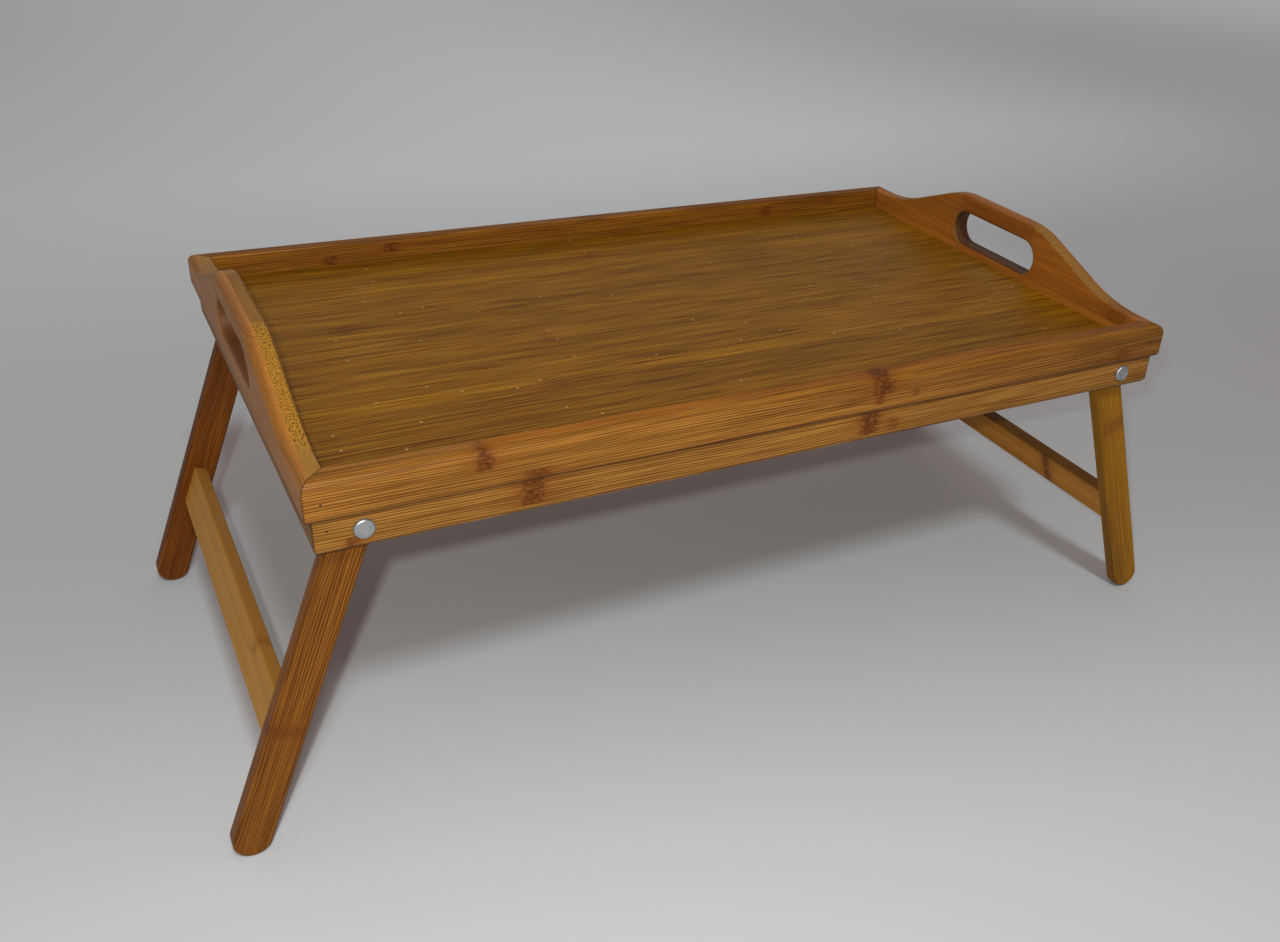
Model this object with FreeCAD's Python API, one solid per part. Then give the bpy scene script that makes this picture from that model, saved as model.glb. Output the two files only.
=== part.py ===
"""Folding bed tray table in bamboo.

Millimetres, +Z up, +X along the tray's length, +Y towards its back. The origin is on the floor
under the middle of the tray, which stands on its open legs.

The tray is a mitred rim of two rails and two handle boards, grooved round a thin panel, on a
mitred apron frame that is set in a little from the rim. Each end has a frame of two legs and a
flat crossbar that hangs on two rivets through the long aprons. It swings out until the legs lie
on the bevel of the end apron, and folds inwards to lie flat under the panel.
"""
import FreeCAD, Part
import math
import os

Vector = FreeCAD.Vector
AXIS_X = Vector(1, 0, 0)
AXIS_Y = Vector(0, 1, 0)
AXIS_Z = Vector(0, 0, 1)
ORIGIN = Vector(0, 0, 0)

# Tray rim
tray_length = 500.0
tray_width = 300.0
rim_height = 20.5
rim_thickness = 12.0
rim_top_round = 5.0
rim_bottom_round = 3.0
rim_inner_ease = 1.0

# Handle boards: a level crest, a convex arc, a ramp and a cove down to the height of the rim
crest_rise = 26.8
crest_flat = 60.0
crest_radius = 60.0
cove_radius = 115.0
ramp_angle = 21.5
slot_length = 82.0
slot_height = 22.0
slot_lift = 13.3          # from the board's bottom edge to the bottom of the slot
slot_edge_round = 2.0

# Panel in its groove
panel_thickness = 4.4
groove_lift = 3.5         # from the rim's bottom edge to the groove
groove_depth = 4.0
panel_edge_gap = 0.5      # between the panel's edge and the bottom of the groove
tongue_relief = 0.4       # how far the panel's edges are let down on top to enter the groove
shoulder_gap = 0.3        # the shadow line between the rim and the raised field of the panel

# Apron frame under the rim
apron_inset = 3.0
apron_ledge = 1.0         # how far the aprons reach inwards past the rim boards
apron_bottom_round = 3.5
apron_inner_ease = 1.0

# Legs
leg_width = 18.5
leg_thickness = 10.0
leg_reach = 182.0         # from the pivot to the centre of the rounded foot
leg_splay = 20.8          # degrees from upright when open
leg_edge_round = 1.5
fold_recess = 0.9         # folded legs lie this far above the aprons' bottom edge
fold_headroom = 2.1       # and this far below the panel
swing_gap = 2.7           # between the rounded top of a leg and the end apron
stop_gap = 0.1            # between an open leg and the bevel that stops it

# Crossbar between the two legs of a frame
crossbar_width = 25.0
crossbar_thickness = 8.0
crossbar_drop = 121.7     # from the pivot to the middle of the bar, along the leg
crossbar_edge_round = 1.2
dowel_diameter = 5.0
dowel_spacing = 13.0
dowel_in_leg = 6.5
dowel_in_bar = 14.0

# Pivot rivets and their washers
rivet_shank = 6.0
rivet_head_diameter = 9.8
rivet_head_height = 1.8
rivet_head_round = 1.2
rivet_clinch_diameter = 9.0
rivet_clinch_height = 1.6
rivet_clinch_round = 1.0
running_gap = 0.06        # round the shank, in the leg and in the washers
drive_gap = 0.02          # round the shank, in the apron
washer_diameter = 14.0
washer_thickness = 1.0
side_play = 0.1           # between a leg and the washer on each side of it

# Brads across the mitres
brad_diameter = 1.4
brad_length = 18.0
brad_recess = 0.4
rim_brad_inset = 7.5      # from the end of the rail
rim_brad_lift = 9.2       # from the bottom edge of the rail
apron_brad_inset = 6.2
apron_brad_lift = 12.0

# What follows from the sizes above
splay = math.radians(leg_splay)
foot_radius = leg_width / 2
apron_thickness = rim_thickness - apron_inset + apron_ledge
apron_height = fold_recess + leg_width + fold_headroom - groove_lift
pivot_z = foot_radius + leg_reach * math.cos(splay)
apron_z = pivot_z - leg_width / 2 - fold_recess
rim_z = apron_z + apron_height
panel_z = rim_z + groove_lift
tongue_z = panel_z + panel_thickness - tongue_relief
apron_length = tray_length - 2 * apron_inset
apron_width = tray_width - 2 * apron_inset
pivot_x = apron_length / 2 - apron_thickness - swing_gap - leg_width / 2
apron_inner_y = apron_width / 2 - apron_thickness
leg_outer_y = apron_inner_y - washer_thickness - side_play
leg_inner_y = leg_outer_y - leg_thickness
burr_y = leg_inner_y - side_play - washer_thickness


def box(low, high):
    """A box between two corners."""
    size = high - low
    return Part.makeBox(size.x, size.y, size.z, low)


def cylinder(radius, start, length, direction):
    """A round bar from start, along direction."""
    return Part.makeCylinder(radius, length, start, direction)


def arc(start, middle, end):
    """The edge of an arc through three points."""
    return Part.Arc(start, middle, end).toShape()


def line(start, end):
    """The edge of a straight line."""
    return Part.LineSegment(start, end).toShape()


def rounded_outline(corners):
    """A closed outline through (point, radius) corners, each rounded by its own radius."""
    starts = []
    ends = []
    middles = []
    count = len(corners)
    for index, (corner, radius) in enumerate(corners):
        before = (corners[index - 1][0] - corner).normalize()
        after = (corners[(index + 1) % count][0] - corner).normalize()
        half_angle = before.getAngle(after) / 2
        inset = radius / math.tan(half_angle)
        bisector = (before + after).normalize()
        centre = corner + bisector * (radius / math.sin(half_angle))
        starts.append(corner + before * inset)
        ends.append(corner + after * inset)
        middles.append(centre - bisector * radius)
    edges = []
    for index, (corner, radius) in enumerate(corners):
        if radius > 0:
            edges.append(arc(starts[index], middles[index], ends[index]))
        edges.append(line(ends[index], starts[(index + 1) % count]))
    return Part.Wire(edges)


def extruded(outline, path):
    """The solid that a flat closed outline sweeps along a straight path."""
    return Part.Face(outline).extrude(path)


def mitred(bar, length, width):
    """A bar along X, at the -Y side of a frame, cut at 45 degrees through the frame's corners."""
    reach = length / 2
    depth = width / 2
    low = bar.BoundBox.ZMin - 1
    tall = bar.BoundBox.ZLength + 2
    wedge = Part.makePolygon([
        Vector(-reach, -depth, low), Vector(reach, -depth, low),
        Vector(reach - depth, 0, low), Vector(depth - reach, 0, low), Vector(-reach, -depth, low)])
    return bar.common(extruded(wedge, AXIS_Z * tall))


def mitred_end(bar, length, width):
    """A bar along Y, at the +X end of a frame, cut at 45 degrees through the frame's corners."""
    at_front = turned_about_z(bar, -90)
    return turned_about_z(mitred(at_front, width, length), 90)


def half_turn(shape):
    """The same piece at the opposite side of the tray."""
    return turned_about_z(shape, 180)


def turned_about_z(shape, angle):
    """A copy of a piece, turned about the upright axis through the middle of the tray."""
    turned = shape.copy()
    turned.rotate(ORIGIN, AXIS_Z, angle)
    return turned


def level_plate(edge_inset, bottom, top):
    """A level plate between two heights, with its edges set in from the rim's outer faces."""
    reach = Vector(tray_length / 2 - edge_inset, tray_width / 2 - edge_inset, 0)
    return box(AXIS_Z * bottom - reach, AXIS_Z * top + reach)


def groove():
    """The slot of the rim that holds the panel's edges, as one plate."""
    return level_plate(rim_thickness - groove_depth, panel_z, tongue_z)


def panel():
    """The thin panel: a tongue in the groove on all four sides, and a field between the rails."""
    tongue = level_plate(rim_thickness - groove_depth + panel_edge_gap, panel_z, tongue_z)
    field = level_plate(rim_thickness + shoulder_gap, tongue_z, panel_z + panel_thickness)
    return tongue.fuse(field).removeSplitter()


def front_rail():
    """A rim rail along the front, rounded at its outer edges and mitred at its ends."""
    start = -tray_length / 2
    outer = -tray_width / 2
    inner = outer + rim_thickness
    top = rim_z + rim_height
    outline = rounded_outline([
        (Vector(start, outer, rim_z), rim_bottom_round),
        (Vector(start, inner, rim_z), 0.0),
        (Vector(start, inner, top), rim_inner_ease),
        (Vector(start, outer, top), rim_top_round)])
    return mitred(extruded(outline, AXIS_X * tray_length), tray_length, tray_width)


def crest_outline():
    """The outline of a handle board, in the plane x = 0, with its length along Y."""
    half = tray_width / 2
    rim_top = rim_z + rim_height
    crest_top = rim_top + crest_rise
    ramp = math.radians(ramp_angle)
    arcs_drop = (crest_radius + cove_radius) * (1 - math.cos(ramp))
    ramp_length = (crest_rise - arcs_drop) / math.sin(ramp)
    crest_end = crest_flat / 2
    ramp_start = Vector(0, crest_end + crest_radius * math.sin(ramp),
                        crest_top - crest_radius * (1 - math.cos(ramp)))
    ramp_end = ramp_start + Vector(0, math.cos(ramp), -math.sin(ramp)) * ramp_length
    cove_end = ramp_end.y + cove_radius * math.sin(ramp)
    crest_middle = Vector(0, crest_end + crest_radius * math.sin(ramp / 2),
                          crest_top - crest_radius * (1 - math.cos(ramp / 2)))
    cove_middle = Vector(0, cove_end - cove_radius * math.sin(ramp / 2),
                         rim_top + cove_radius * (1 - math.cos(ramp / 2)))

    def at(y, z):
        return Vector(0, y, z)

    def flipped(point):
        return Vector(0, -point.y, point.z)

    near = [line(at(half, rim_top), at(cove_end, rim_top)),
            arc(at(cove_end, rim_top), cove_middle, ramp_end),
            line(ramp_end, ramp_start),
            arc(ramp_start, crest_middle, at(crest_end, crest_top))]
    far = [arc(at(-crest_end, crest_top), flipped(crest_middle), flipped(ramp_start)),
           line(flipped(ramp_start), flipped(ramp_end)),
           arc(flipped(ramp_end), flipped(cove_middle), at(-cove_end, rim_top)),
           line(at(-cove_end, rim_top), at(-half, rim_top))]
    crest = [line(at(crest_end, crest_top), at(-crest_end, crest_top))]
    base = [line(at(-half, rim_top), at(-half, rim_z)),
            line(at(-half, rim_z), at(half, rim_z)),
            line(at(half, rim_z), at(half, rim_top))]
    return Part.Wire(near + crest + far + base)


def slot_cutter():
    """The handle slot, with round ends, through the whole thickness of a board at x = 0."""
    radius = slot_height / 2
    middle_z = rim_z + slot_lift + radius
    end = slot_length / 2 - radius
    start = Vector(0, -end, middle_z)
    finish = Vector(0, end, middle_z)
    middle = box(start - AXIS_Z * radius, finish + AXIS_Z * radius + AXIS_X * rim_thickness)
    left = cylinder(radius, start, rim_thickness, AXIS_X)
    right = cylinder(radius, finish, rim_thickness, AXIS_X)
    return middle.fuse([left, right]).removeSplitter()


def edges_at(shape, plane_x, keep):
    """The edges of a board that lie in the plane x = plane_x and pass the test keep."""
    found = []
    for edge in shape.Edges:
        flat = abs(edge.BoundBox.XMin - plane_x) < 0.01 and abs(edge.BoundBox.XMax - plane_x) < 0.01
        if flat and keep(edge.CenterOfMass, edge.BoundBox):
            found.append(edge)
    return found


def handle_board():
    """The handle board of the right end: crest, slot, rounded edges, mitred ends."""
    board = extruded(crest_outline(), AXIS_X * rim_thickness).cut(slot_cutter())
    half = tray_width / 2
    rim_top = rim_z + rim_height

    def of_slot(centre, bounds):
        return abs(centre.y) < slot_length / 2 and rim_z + 1 < bounds.ZMin < bounds.ZMax < \
            rim_z + slot_lift + slot_height + 0.1

    def of_top(centre, bounds):
        return bounds.ZMin > rim_top - 0.1 and not of_slot(centre, bounds) and abs(centre.y) < half - 0.1

    def of_bottom(centre, bounds):
        return bounds.ZMax < rim_z + 0.1

    board = board.makeFillet(slot_edge_round, edges_at(board, 0.0, of_slot))
    board = board.makeFillet(slot_edge_round, edges_at(board, rim_thickness, of_slot))
    board = board.makeFillet(rim_top_round, edges_at(board, rim_thickness, of_top))
    board = board.makeFillet(rim_inner_ease, edges_at(board, 0.0, of_top))
    board = board.makeFillet(rim_bottom_round, edges_at(board, rim_thickness, of_bottom))
    board.translate(AXIS_X * (tray_length / 2 - rim_thickness))
    return mitred_end(board, tray_length, tray_width)


def front_apron():
    """The long apron under the front rail, mitred at its ends."""
    start = -apron_length / 2
    outer = -apron_width / 2
    inner = outer + apron_thickness
    outline = rounded_outline([
        (Vector(start, outer, apron_z), apron_bottom_round),
        (Vector(start, inner, apron_z), apron_inner_ease),
        (Vector(start, inner, rim_z), 0.0),
        (Vector(start, outer, rim_z), 0.0)])
    bar = mitred(extruded(outline, AXIS_X * apron_length), apron_length, apron_width)
    for side in (-1, 1):
        centre = Vector(side * pivot_x, outer, pivot_z)
        bar = bar.cut(cylinder(rivet_shank / 2 + drive_gap, centre, apron_thickness, AXIS_Y))
    return bar


def end_apron():
    """The short apron of the right end, bevelled inside so that the open legs lie flat on it."""
    start = -apron_width / 2
    outer = apron_length / 2
    inner = outer - apron_thickness
    outline = rounded_outline([
        (Vector(outer, start, apron_z), apron_bottom_round),
        (Vector(outer, start, rim_z), 0.0),
        (Vector(inner, start, rim_z), 0.0),
        (Vector(inner, start, apron_z), 0.0)])
    bar = extruded(outline, AXIS_Y * apron_width).cut(stop_bevel())
    return mitred_end(bar, apron_length, apron_width)


def stop_bevel():
    """All that lies on the inner side of the outer edge of an open right leg."""
    outward = Vector(math.cos(splay), 0, math.sin(splay))
    along = Vector(math.sin(splay), 0, -math.cos(splay))
    pivot = Vector(pivot_x, -apron_width / 2, pivot_z)
    edge = pivot + outward * (leg_width / 2 + stop_gap)
    upper = edge - along * leg_width
    lower = edge + along * (2 * leg_width)
    inward = outward * (-2 * leg_width)
    outline = Part.makePolygon([upper, lower, lower + inward, upper + inward, upper])
    return extruded(outline, AXIS_Y * apron_width)


def upright_leg():
    """The front leg of the right end as it hangs straight down from its pivot, with rounded ends."""
    pivot = Vector(pivot_x, -leg_outer_y, pivot_z)
    foot = pivot - AXIS_Z * leg_reach
    half = leg_width / 2
    side = AXIS_X * half
    outline = Part.Wire([
        arc(pivot - side, pivot + AXIS_Z * half, pivot + side),
        line(pivot + side, foot + side),
        arc(foot + side, foot - AXIS_Z * half, foot - side),
        line(foot - side, pivot - side)])
    leg = extruded(outline, AXIS_Y * leg_thickness)
    across = [edge for edge in leg.Edges if edge.BoundBox.YLength < leg_thickness / 2]
    leg = leg.makeFillet(leg_edge_round, across)
    leg = leg.cut(cylinder(rivet_shank / 2 + running_gap, pivot, leg_thickness, AXIS_Y))
    return leg.cut(Part.makeCompound(upright_dowels(-1)))


def upright_crossbar():
    """The crossbar between upright legs, with the holes for its dowels."""
    middle = Vector(pivot_x, -leg_inner_y, pivot_z - crossbar_drop)
    outline = rounded_outline([
        (middle + Vector(i * crossbar_thickness / 2, 0, k * crossbar_width / 2), crossbar_edge_round)
        for i, k in ((-1, -1), (1, -1), (1, 1), (-1, 1))])
    bar = extruded(outline, AXIS_Y * (2 * leg_inner_y))
    return bar.cut(Part.makeCompound(upright_dowels(-1) + upright_dowels(1)))


def upright_dowels(side):
    """The two dowels of one end of the crossbar, between upright legs; side -1 is the front."""
    dowels = []
    for level in (-1, 1):
        start = Vector(pivot_x, side * (leg_inner_y + dowel_in_leg),
                       pivot_z - crossbar_drop + level * dowel_spacing / 2)
        dowels.append(cylinder(dowel_diameter / 2, start, dowel_in_leg + dowel_in_bar, AXIS_Y * -side))
    return dowels


def swung_open(shape):
    """A piece of the right leg frame, swung from upright to its open place."""
    opened = shape.copy()
    opened.rotate(Vector(pivot_x, 0, pivot_z), AXIS_Y, -leg_splay)
    return opened


def button(radius, height, edge_round, base, direction):
    """A low round head on its base, with a rounded rim."""
    head = cylinder(radius, base, height, direction)
    top = base + direction * height
    rim = [edge for edge in head.Edges if (edge.CenterOfMass - top).Length < 0.01]
    return head.makeFillet(edge_round, rim)


def pivot_rivet():
    """The front right rivet: head on the apron, shank through apron and leg, clinched inside."""
    face = Vector(pivot_x, -apron_width / 2, pivot_z)
    clinch = Vector(pivot_x, -burr_y, pivot_z)
    shank = cylinder(rivet_shank / 2, face, (clinch - face).Length, AXIS_Y)
    head = button(rivet_head_diameter / 2, rivet_head_height, rivet_head_round, face, -AXIS_Y)
    tail = button(rivet_clinch_diameter / 2, rivet_clinch_height, rivet_clinch_round, clinch, AXIS_Y)
    return shank.fuse([head, tail]).removeSplitter()


def washer(outer_y):
    """A flat washer round the front right rivet, inwards from y = -outer_y."""
    base = Vector(pivot_x, -outer_y, pivot_z)
    plate = cylinder(washer_diameter / 2, base, washer_thickness, AXIS_Y)
    return plate.cut(cylinder(rivet_shank / 2 + running_gap, base, washer_thickness, AXIS_Y))


def corner_pins(length, width, level, inset, recess, depth):
    """A pin across each mitre of a frame, from its long sides, between two depths under the face."""
    pins = []
    for end in (-1, 1):
        for side in (-1, 1):
            start = Vector(end * (length / 2 - inset), side * (width / 2 - recess), level)
            pins.append(cylinder(brad_diameter / 2, start, depth - recess, AXIS_Y * -side))
    return Part.makeCompound(pins)


def at_corners(name, piece):
    """A piece of the front right corner, copied to all four corners of the tray."""
    across = piece.mirror(ORIGIN, AXIS_X)
    return {
        "front_right_" + name: piece,
        "front_left_" + name: across,
        "back_right_" + name: half_turn(across),
        "back_left_" + name: half_turn(piece)}


def pieces():
    """Every piece of the tray table, by name."""
    brad_depth = brad_recess + brad_length
    rim_brads = (tray_length, tray_width, rim_z + rim_brad_lift, rim_brad_inset)
    apron_brads = (apron_length, apron_width, apron_z + apron_brad_lift, apron_brad_inset)
    rim_cut = groove().fuse(corner_pins(*rim_brads, 0.0, brad_depth).Solids)
    apron_cut = corner_pins(*apron_brads, 0.0, brad_depth)
    rail = front_rail()
    board = handle_board()
    long_apron = front_apron()
    short_apron = end_apron()
    crossbar = swung_open(upright_crossbar())
    dowels = swung_open(Part.makeCompound(upright_dowels(-1) + upright_dowels(1)))
    made = {
        "front_rim_rail": rail.cut(rim_cut),
        "back_rim_rail": half_turn(rail).cut(rim_cut),
        "right_handle_board": board.cut(rim_cut),
        "left_handle_board": half_turn(board).cut(rim_cut),
        "tray_panel": panel(),
        "rim_corner_brads": corner_pins(*rim_brads, brad_recess, brad_depth),
        "front_apron": long_apron.cut(apron_cut),
        "back_apron": half_turn(long_apron).cut(apron_cut),
        "right_apron": short_apron.cut(apron_cut),
        "left_apron": half_turn(short_apron).cut(apron_cut),
        "apron_corner_brads": corner_pins(*apron_brads, brad_recess, brad_depth),
        "right_crossbar": crossbar,
        "left_crossbar": half_turn(crossbar),
        "right_crossbar_dowels": dowels,
        "left_crossbar_dowels": half_turn(dowels)}
    made.update(at_corners("leg", swung_open(upright_leg())))
    made.update(at_corners("pivot_rivet", pivot_rivet()))
    made.update(at_corners("spacer_washer", washer(apron_inner_y)))
    made.update(at_corners("rivet_washer", washer(leg_inner_y - side_play)))
    return made


os.makedirs("parts", exist_ok=True)
for node, shape in pieces().items():
    shape.exportStep("parts/" + node + ".step")
    print(node, len(shape.Solids), round(shape.Volume, 1), shape.isValid())
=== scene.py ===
"""Looks of a folding bed tray table in oiled bamboo.

The tray is a mitred rim of two rails and two handle boards round a thin panel, on a mitred apron
frame. At each end two legs and a flat crossbar hang on rivets through the long aprons.

Shapes are worked out in millimetres, as whole arrays, and written to their meshes in metres. A long
piece is worked out where the front one lies, with x along it, y its depth under the outer face and
z its height, and is then turned about the upright axis to its own side of the tray.
"""

import logging
import math
from dataclasses import dataclass, field
from enum import Enum

import bmesh
import bpy
import numpy as np
from mathutils import Euler, Matrix, Vector


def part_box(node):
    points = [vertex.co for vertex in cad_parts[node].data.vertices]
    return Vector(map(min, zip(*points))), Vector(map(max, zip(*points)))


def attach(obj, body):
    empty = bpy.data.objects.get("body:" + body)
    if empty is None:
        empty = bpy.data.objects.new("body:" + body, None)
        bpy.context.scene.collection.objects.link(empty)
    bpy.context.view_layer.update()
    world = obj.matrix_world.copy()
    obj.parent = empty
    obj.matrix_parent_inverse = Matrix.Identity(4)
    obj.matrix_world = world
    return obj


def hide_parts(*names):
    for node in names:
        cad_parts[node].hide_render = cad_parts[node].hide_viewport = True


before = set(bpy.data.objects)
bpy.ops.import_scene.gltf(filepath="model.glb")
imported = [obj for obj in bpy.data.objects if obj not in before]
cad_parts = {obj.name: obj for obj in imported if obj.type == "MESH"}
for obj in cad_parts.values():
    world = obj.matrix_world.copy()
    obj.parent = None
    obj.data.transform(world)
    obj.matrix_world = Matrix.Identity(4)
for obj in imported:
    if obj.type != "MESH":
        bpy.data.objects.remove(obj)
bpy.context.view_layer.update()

log = logging.getLogger("bed_tray_table")

METRE = 1000.0            # millimetres in a metre
WELD = 1e-7               # metres within which two points are one
SAME = 0.01               # millimetres within which two heights are one
THROUGH = 1.0             # millimetres that a cutter reaches past a face
AXIS_GAP = 0.05           # millimetres that a turned profile keeps from its axis
SHARP_ANGLE = math.radians(38.0)
BEFORE_ALL = -1.0e4       # millimetres, a place before the start of every piece

Colour = tuple[float, float, float]
Triple = tuple[float, float, float]
Span = tuple[float, float]
Socket = bpy.types.NodeSocket
Tree = bpy.types.NodeTree
Piece = bpy.types.Object


class Side(Enum):
    """A side of the tray, by how far its pieces are turned from the front."""

    FRONT = 0
    RIGHT = 90
    BACK = 180
    LEFT = 270

    @property
    def turn(self) -> np.ndarray:
        """The turn about the upright axis from the front to this side, as a matrix."""
        angle = math.radians(self.value)
        return np.array(Matrix.Rotation(angle, 3, "Z"))


class End(Enum):
    """An end of the tray, by the sign of its x."""

    LEFT = -1
    RIGHT = 1


class Face(Enum):
    """A long side of the tray, by the sign of its y."""

    FRONT = -1
    BACK = 1


def millimetres(corner: Vector) -> np.ndarray:
    """A corner of the frame, in millimetres."""
    return np.array(corner) * METRE


@dataclass(frozen=True)
class TraySizes:
    """The sizes that the pieces share, in millimetres, most of them read from the frame."""

    half_length: float
    half_width: float
    rim_low: float
    rim_top: float
    rim_thickness: float
    crest_top: float
    apron_half_length: float
    apron_half_width: float
    apron_low: float
    apron_thickness: float
    panel_low: float
    panel_top: float
    pivot_x: float
    pivot_z: float
    leg_radius: float
    leg_reach: float
    leg_splay: float
    leg_outer_y: float
    leg_inner_y: float
    stop_gap: float = 0.1
    groove_depth: float = 4.0
    tongue_relief: float = 0.4
    panel_edge_gap: float = 0.5
    shoulder_gap: float = 0.3
    rivet_hole_radius: float = 3.02
    leg_hole_radius: float = 3.06

    @classmethod
    def from_frame(cls) -> "TraySizes":
        """Reads the sizes off the boxes of the frame's nodes.

        Returns:
            The sizes, in millimetres and radians.
        """
        rail_low, rail_high = map(millimetres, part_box("front_rim_rail"))
        apron_low, apron_high = map(millimetres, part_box("front_apron"))
        panel_low, panel_high = map(millimetres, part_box("tray_panel"))
        leg_low, leg_high = map(millimetres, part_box("front_right_leg"))
        board_high = millimetres(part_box("right_handle_board")[1])
        rivet_low, rivet_high = map(millimetres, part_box("front_right_pivot_rivet"))
        pivot_x = (rivet_low[0] + rivet_high[0]) / 2
        pivot_z = (rivet_low[2] + rivet_high[2]) / 2
        leg_radius = pivot_x - leg_low[0]
        outwards = leg_high[0] - leg_radius - pivot_x
        downwards = pivot_z - leg_radius
        return cls(
            half_length=rail_high[0], half_width=-rail_low[1], rim_low=rail_low[2], rim_top=rail_high[2],
            rim_thickness=rail_high[1] - rail_low[1], crest_top=board_high[2],
            apron_half_length=apron_high[0], apron_half_width=-apron_low[1], apron_low=apron_low[2],
            apron_thickness=apron_high[1] - apron_low[1], panel_low=panel_low[2], panel_top=panel_high[2],
            pivot_x=pivot_x, pivot_z=pivot_z, leg_radius=leg_radius,
            leg_reach=math.hypot(outwards, downwards), leg_splay=math.atan2(outwards, downwards),
            leg_outer_y=-leg_low[1], leg_inner_y=-leg_high[1])

    @property
    def tongue_top(self) -> float:
        """The height of the top of the panel's tongue."""
        return self.panel_top - self.tongue_relief


# ---------------------------------------------------------------------------------------------
# Surfaces


@dataclass
class Profile:
    """A closed outline of points (depth, height), and how far each point is in a rounded edge."""

    points: np.ndarray
    eased: np.ndarray

    @property
    def normals(self) -> np.ndarray:
        """Unit normals that point out of the outline, square to the chord of each point's neighbours."""
        chord = np.roll(self.points, -1, 0) - np.roll(self.points, 1, 0)
        x, y = self.points.T
        turning = np.sign(np.sum(x * np.roll(y, -1) - np.roll(x, -1) * y))
        normal = np.column_stack([chord[:, 1], -chord[:, 0]]) * turning
        return normal / np.maximum(np.linalg.norm(normal, axis=1, keepdims=True), 1e-9)


def rounded_profile(corners: list[Triple], steps: int = 6) -> Profile:
    """A closed outline whose corners are arcs.

    The arc at a corner has its centre on the corner's bisector, radius / sin(half the angle) away, and
    runs from the tangent point on one side to the tangent point on the other.

    Args:
        corners: Depth, height and radius of each corner, in order.
        steps: Pieces of each arc.

    Returns:
        The outline. A point is eased 1 in the middle of an arc and 0 at its ends and on the flats.
    """
    place = np.array([corner[:2] for corner in corners])
    radius = np.array([corner[2] for corner in corners])
    before = np.roll(place, 1, 0) - place
    after = np.roll(place, -1, 0) - place
    before /= np.linalg.norm(before, axis=1, keepdims=True)
    after /= np.linalg.norm(after, axis=1, keepdims=True)
    half = np.arccos(np.clip(np.sum(before * after, 1), -1, 1)) / 2
    bisector = before + after
    bisector /= np.linalg.norm(bisector, axis=1, keepdims=True)
    centre = place + bisector * (radius / np.sin(half))[:, None]
    start = place + before * (radius / np.tan(half))[:, None]
    finish = place + after * (radius / np.tan(half))[:, None]
    points = []
    eased = []
    for index in range(len(corners)):
        if radius[index] == 0:
            points.append(place[index:index + 1])
            eased.append(np.zeros(1))
            continue
        sweep = math.pi - 2 * half[index]
        share = np.linspace(0, 1, steps + 1)
        first = (start[index] - centre[index]) / radius[index]
        last = (finish[index] - centre[index]) / radius[index]
        weights = np.column_stack([np.sin((1 - share) * sweep), np.sin(share * sweep)]) / math.sin(sweep)
        points.append(centre[index] + radius[index] * (weights @ np.array([first, last])))
        eased.append(np.sin(share * math.pi))
    return Profile(np.concatenate(points), np.concatenate(eased))


class Surface:
    """A closed surface in the making, as arrays of points and faces in millimetres."""

    def __init__(self) -> None:
        """Starts with no points."""
        self.points: list[np.ndarray] = []
        self.eased: list[np.ndarray] = []
        self.faces: list[list[int]] = []
        self.count = 0

    def add_points(self, points: np.ndarray, eased: np.ndarray | None = None) -> np.ndarray:
        """Adds points and gives their numbers.

        Args:
            points: An array whose last axis is x, y, z.
            eased: How far each point is in a rounded edge, of the same shape less its last axis.

        Returns:
            The points' numbers, in the shape of the array less its last axis.
        """
        shape = points.shape[:-1]
        flat = points.reshape(-1, 3)
        numbers = self.count + np.arange(len(flat))
        self.points.append(flat)
        self.eased.append(np.zeros(len(flat)) if eased is None else np.broadcast_to(eased, shape).ravel())
        self.count += len(flat)
        return numbers.reshape(shape)

    def add_grid(self, numbers: np.ndarray, closed: bool) -> None:
        """Adds a quad between each two rows and columns of numbered points.

        Args:
            numbers: Rows and columns of point numbers.
            closed: Whether the last column joins the first.
        """
        across = np.concatenate([numbers, numbers[:, :1]], 1) if closed else numbers
        quads = np.stack([across[:-1, :-1], across[:-1, 1:], across[1:, 1:], across[1:, :-1]], -1)
        self.faces += quads.reshape(-1, 4).tolist()

    def add_cap(self, loop: np.ndarray) -> None:
        """Adds one flat face on a closed loop of numbered points."""
        self.faces.append(loop.tolist())

    @classmethod
    def tube(cls, points: np.ndarray, eased: np.ndarray | None = None) -> "Surface":
        """A tube through rows of points that run round it, with a flat cap on its first and last row."""
        surface = cls()
        numbers = surface.add_points(points, eased)
        surface.add_grid(numbers, closed=True)
        surface.add_cap(numbers[0])
        surface.add_cap(numbers[-1])
        return surface

    def to_object(self, name: str, turn: np.ndarray | None = None) -> Piece:
        """Writes the surface to a mesh object at the origin, in metres.

        Args:
            name: The object's name.
            turn: A matrix that turns the points, or None.

        Returns:
            The object, with its faces outwards and its rounded edges in the attribute eased.
        """
        points = np.concatenate(self.points)
        if turn is not None:
            points = points @ turn.T
        mesh = bpy.data.meshes.new(name)
        mesh.from_pydata((points / METRE).tolist(), [], self.faces)
        layer = mesh.attributes.new("eased", "FLOAT", "POINT")
        layer.data.foreach_set("value", np.concatenate(self.eased).astype(np.float32))
        made = bmesh.new()
        made.from_mesh(mesh)
        bmesh.ops.remove_doubles(made, verts=made.verts, dist=WELD)
        bmesh.ops.recalc_face_normals(made, faces=made.faces)
        made.to_mesh(mesh)
        made.free()
        piece = bpy.data.objects.new(name, mesh)
        bpy.context.scene.collection.objects.link(piece)
        return piece


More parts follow.
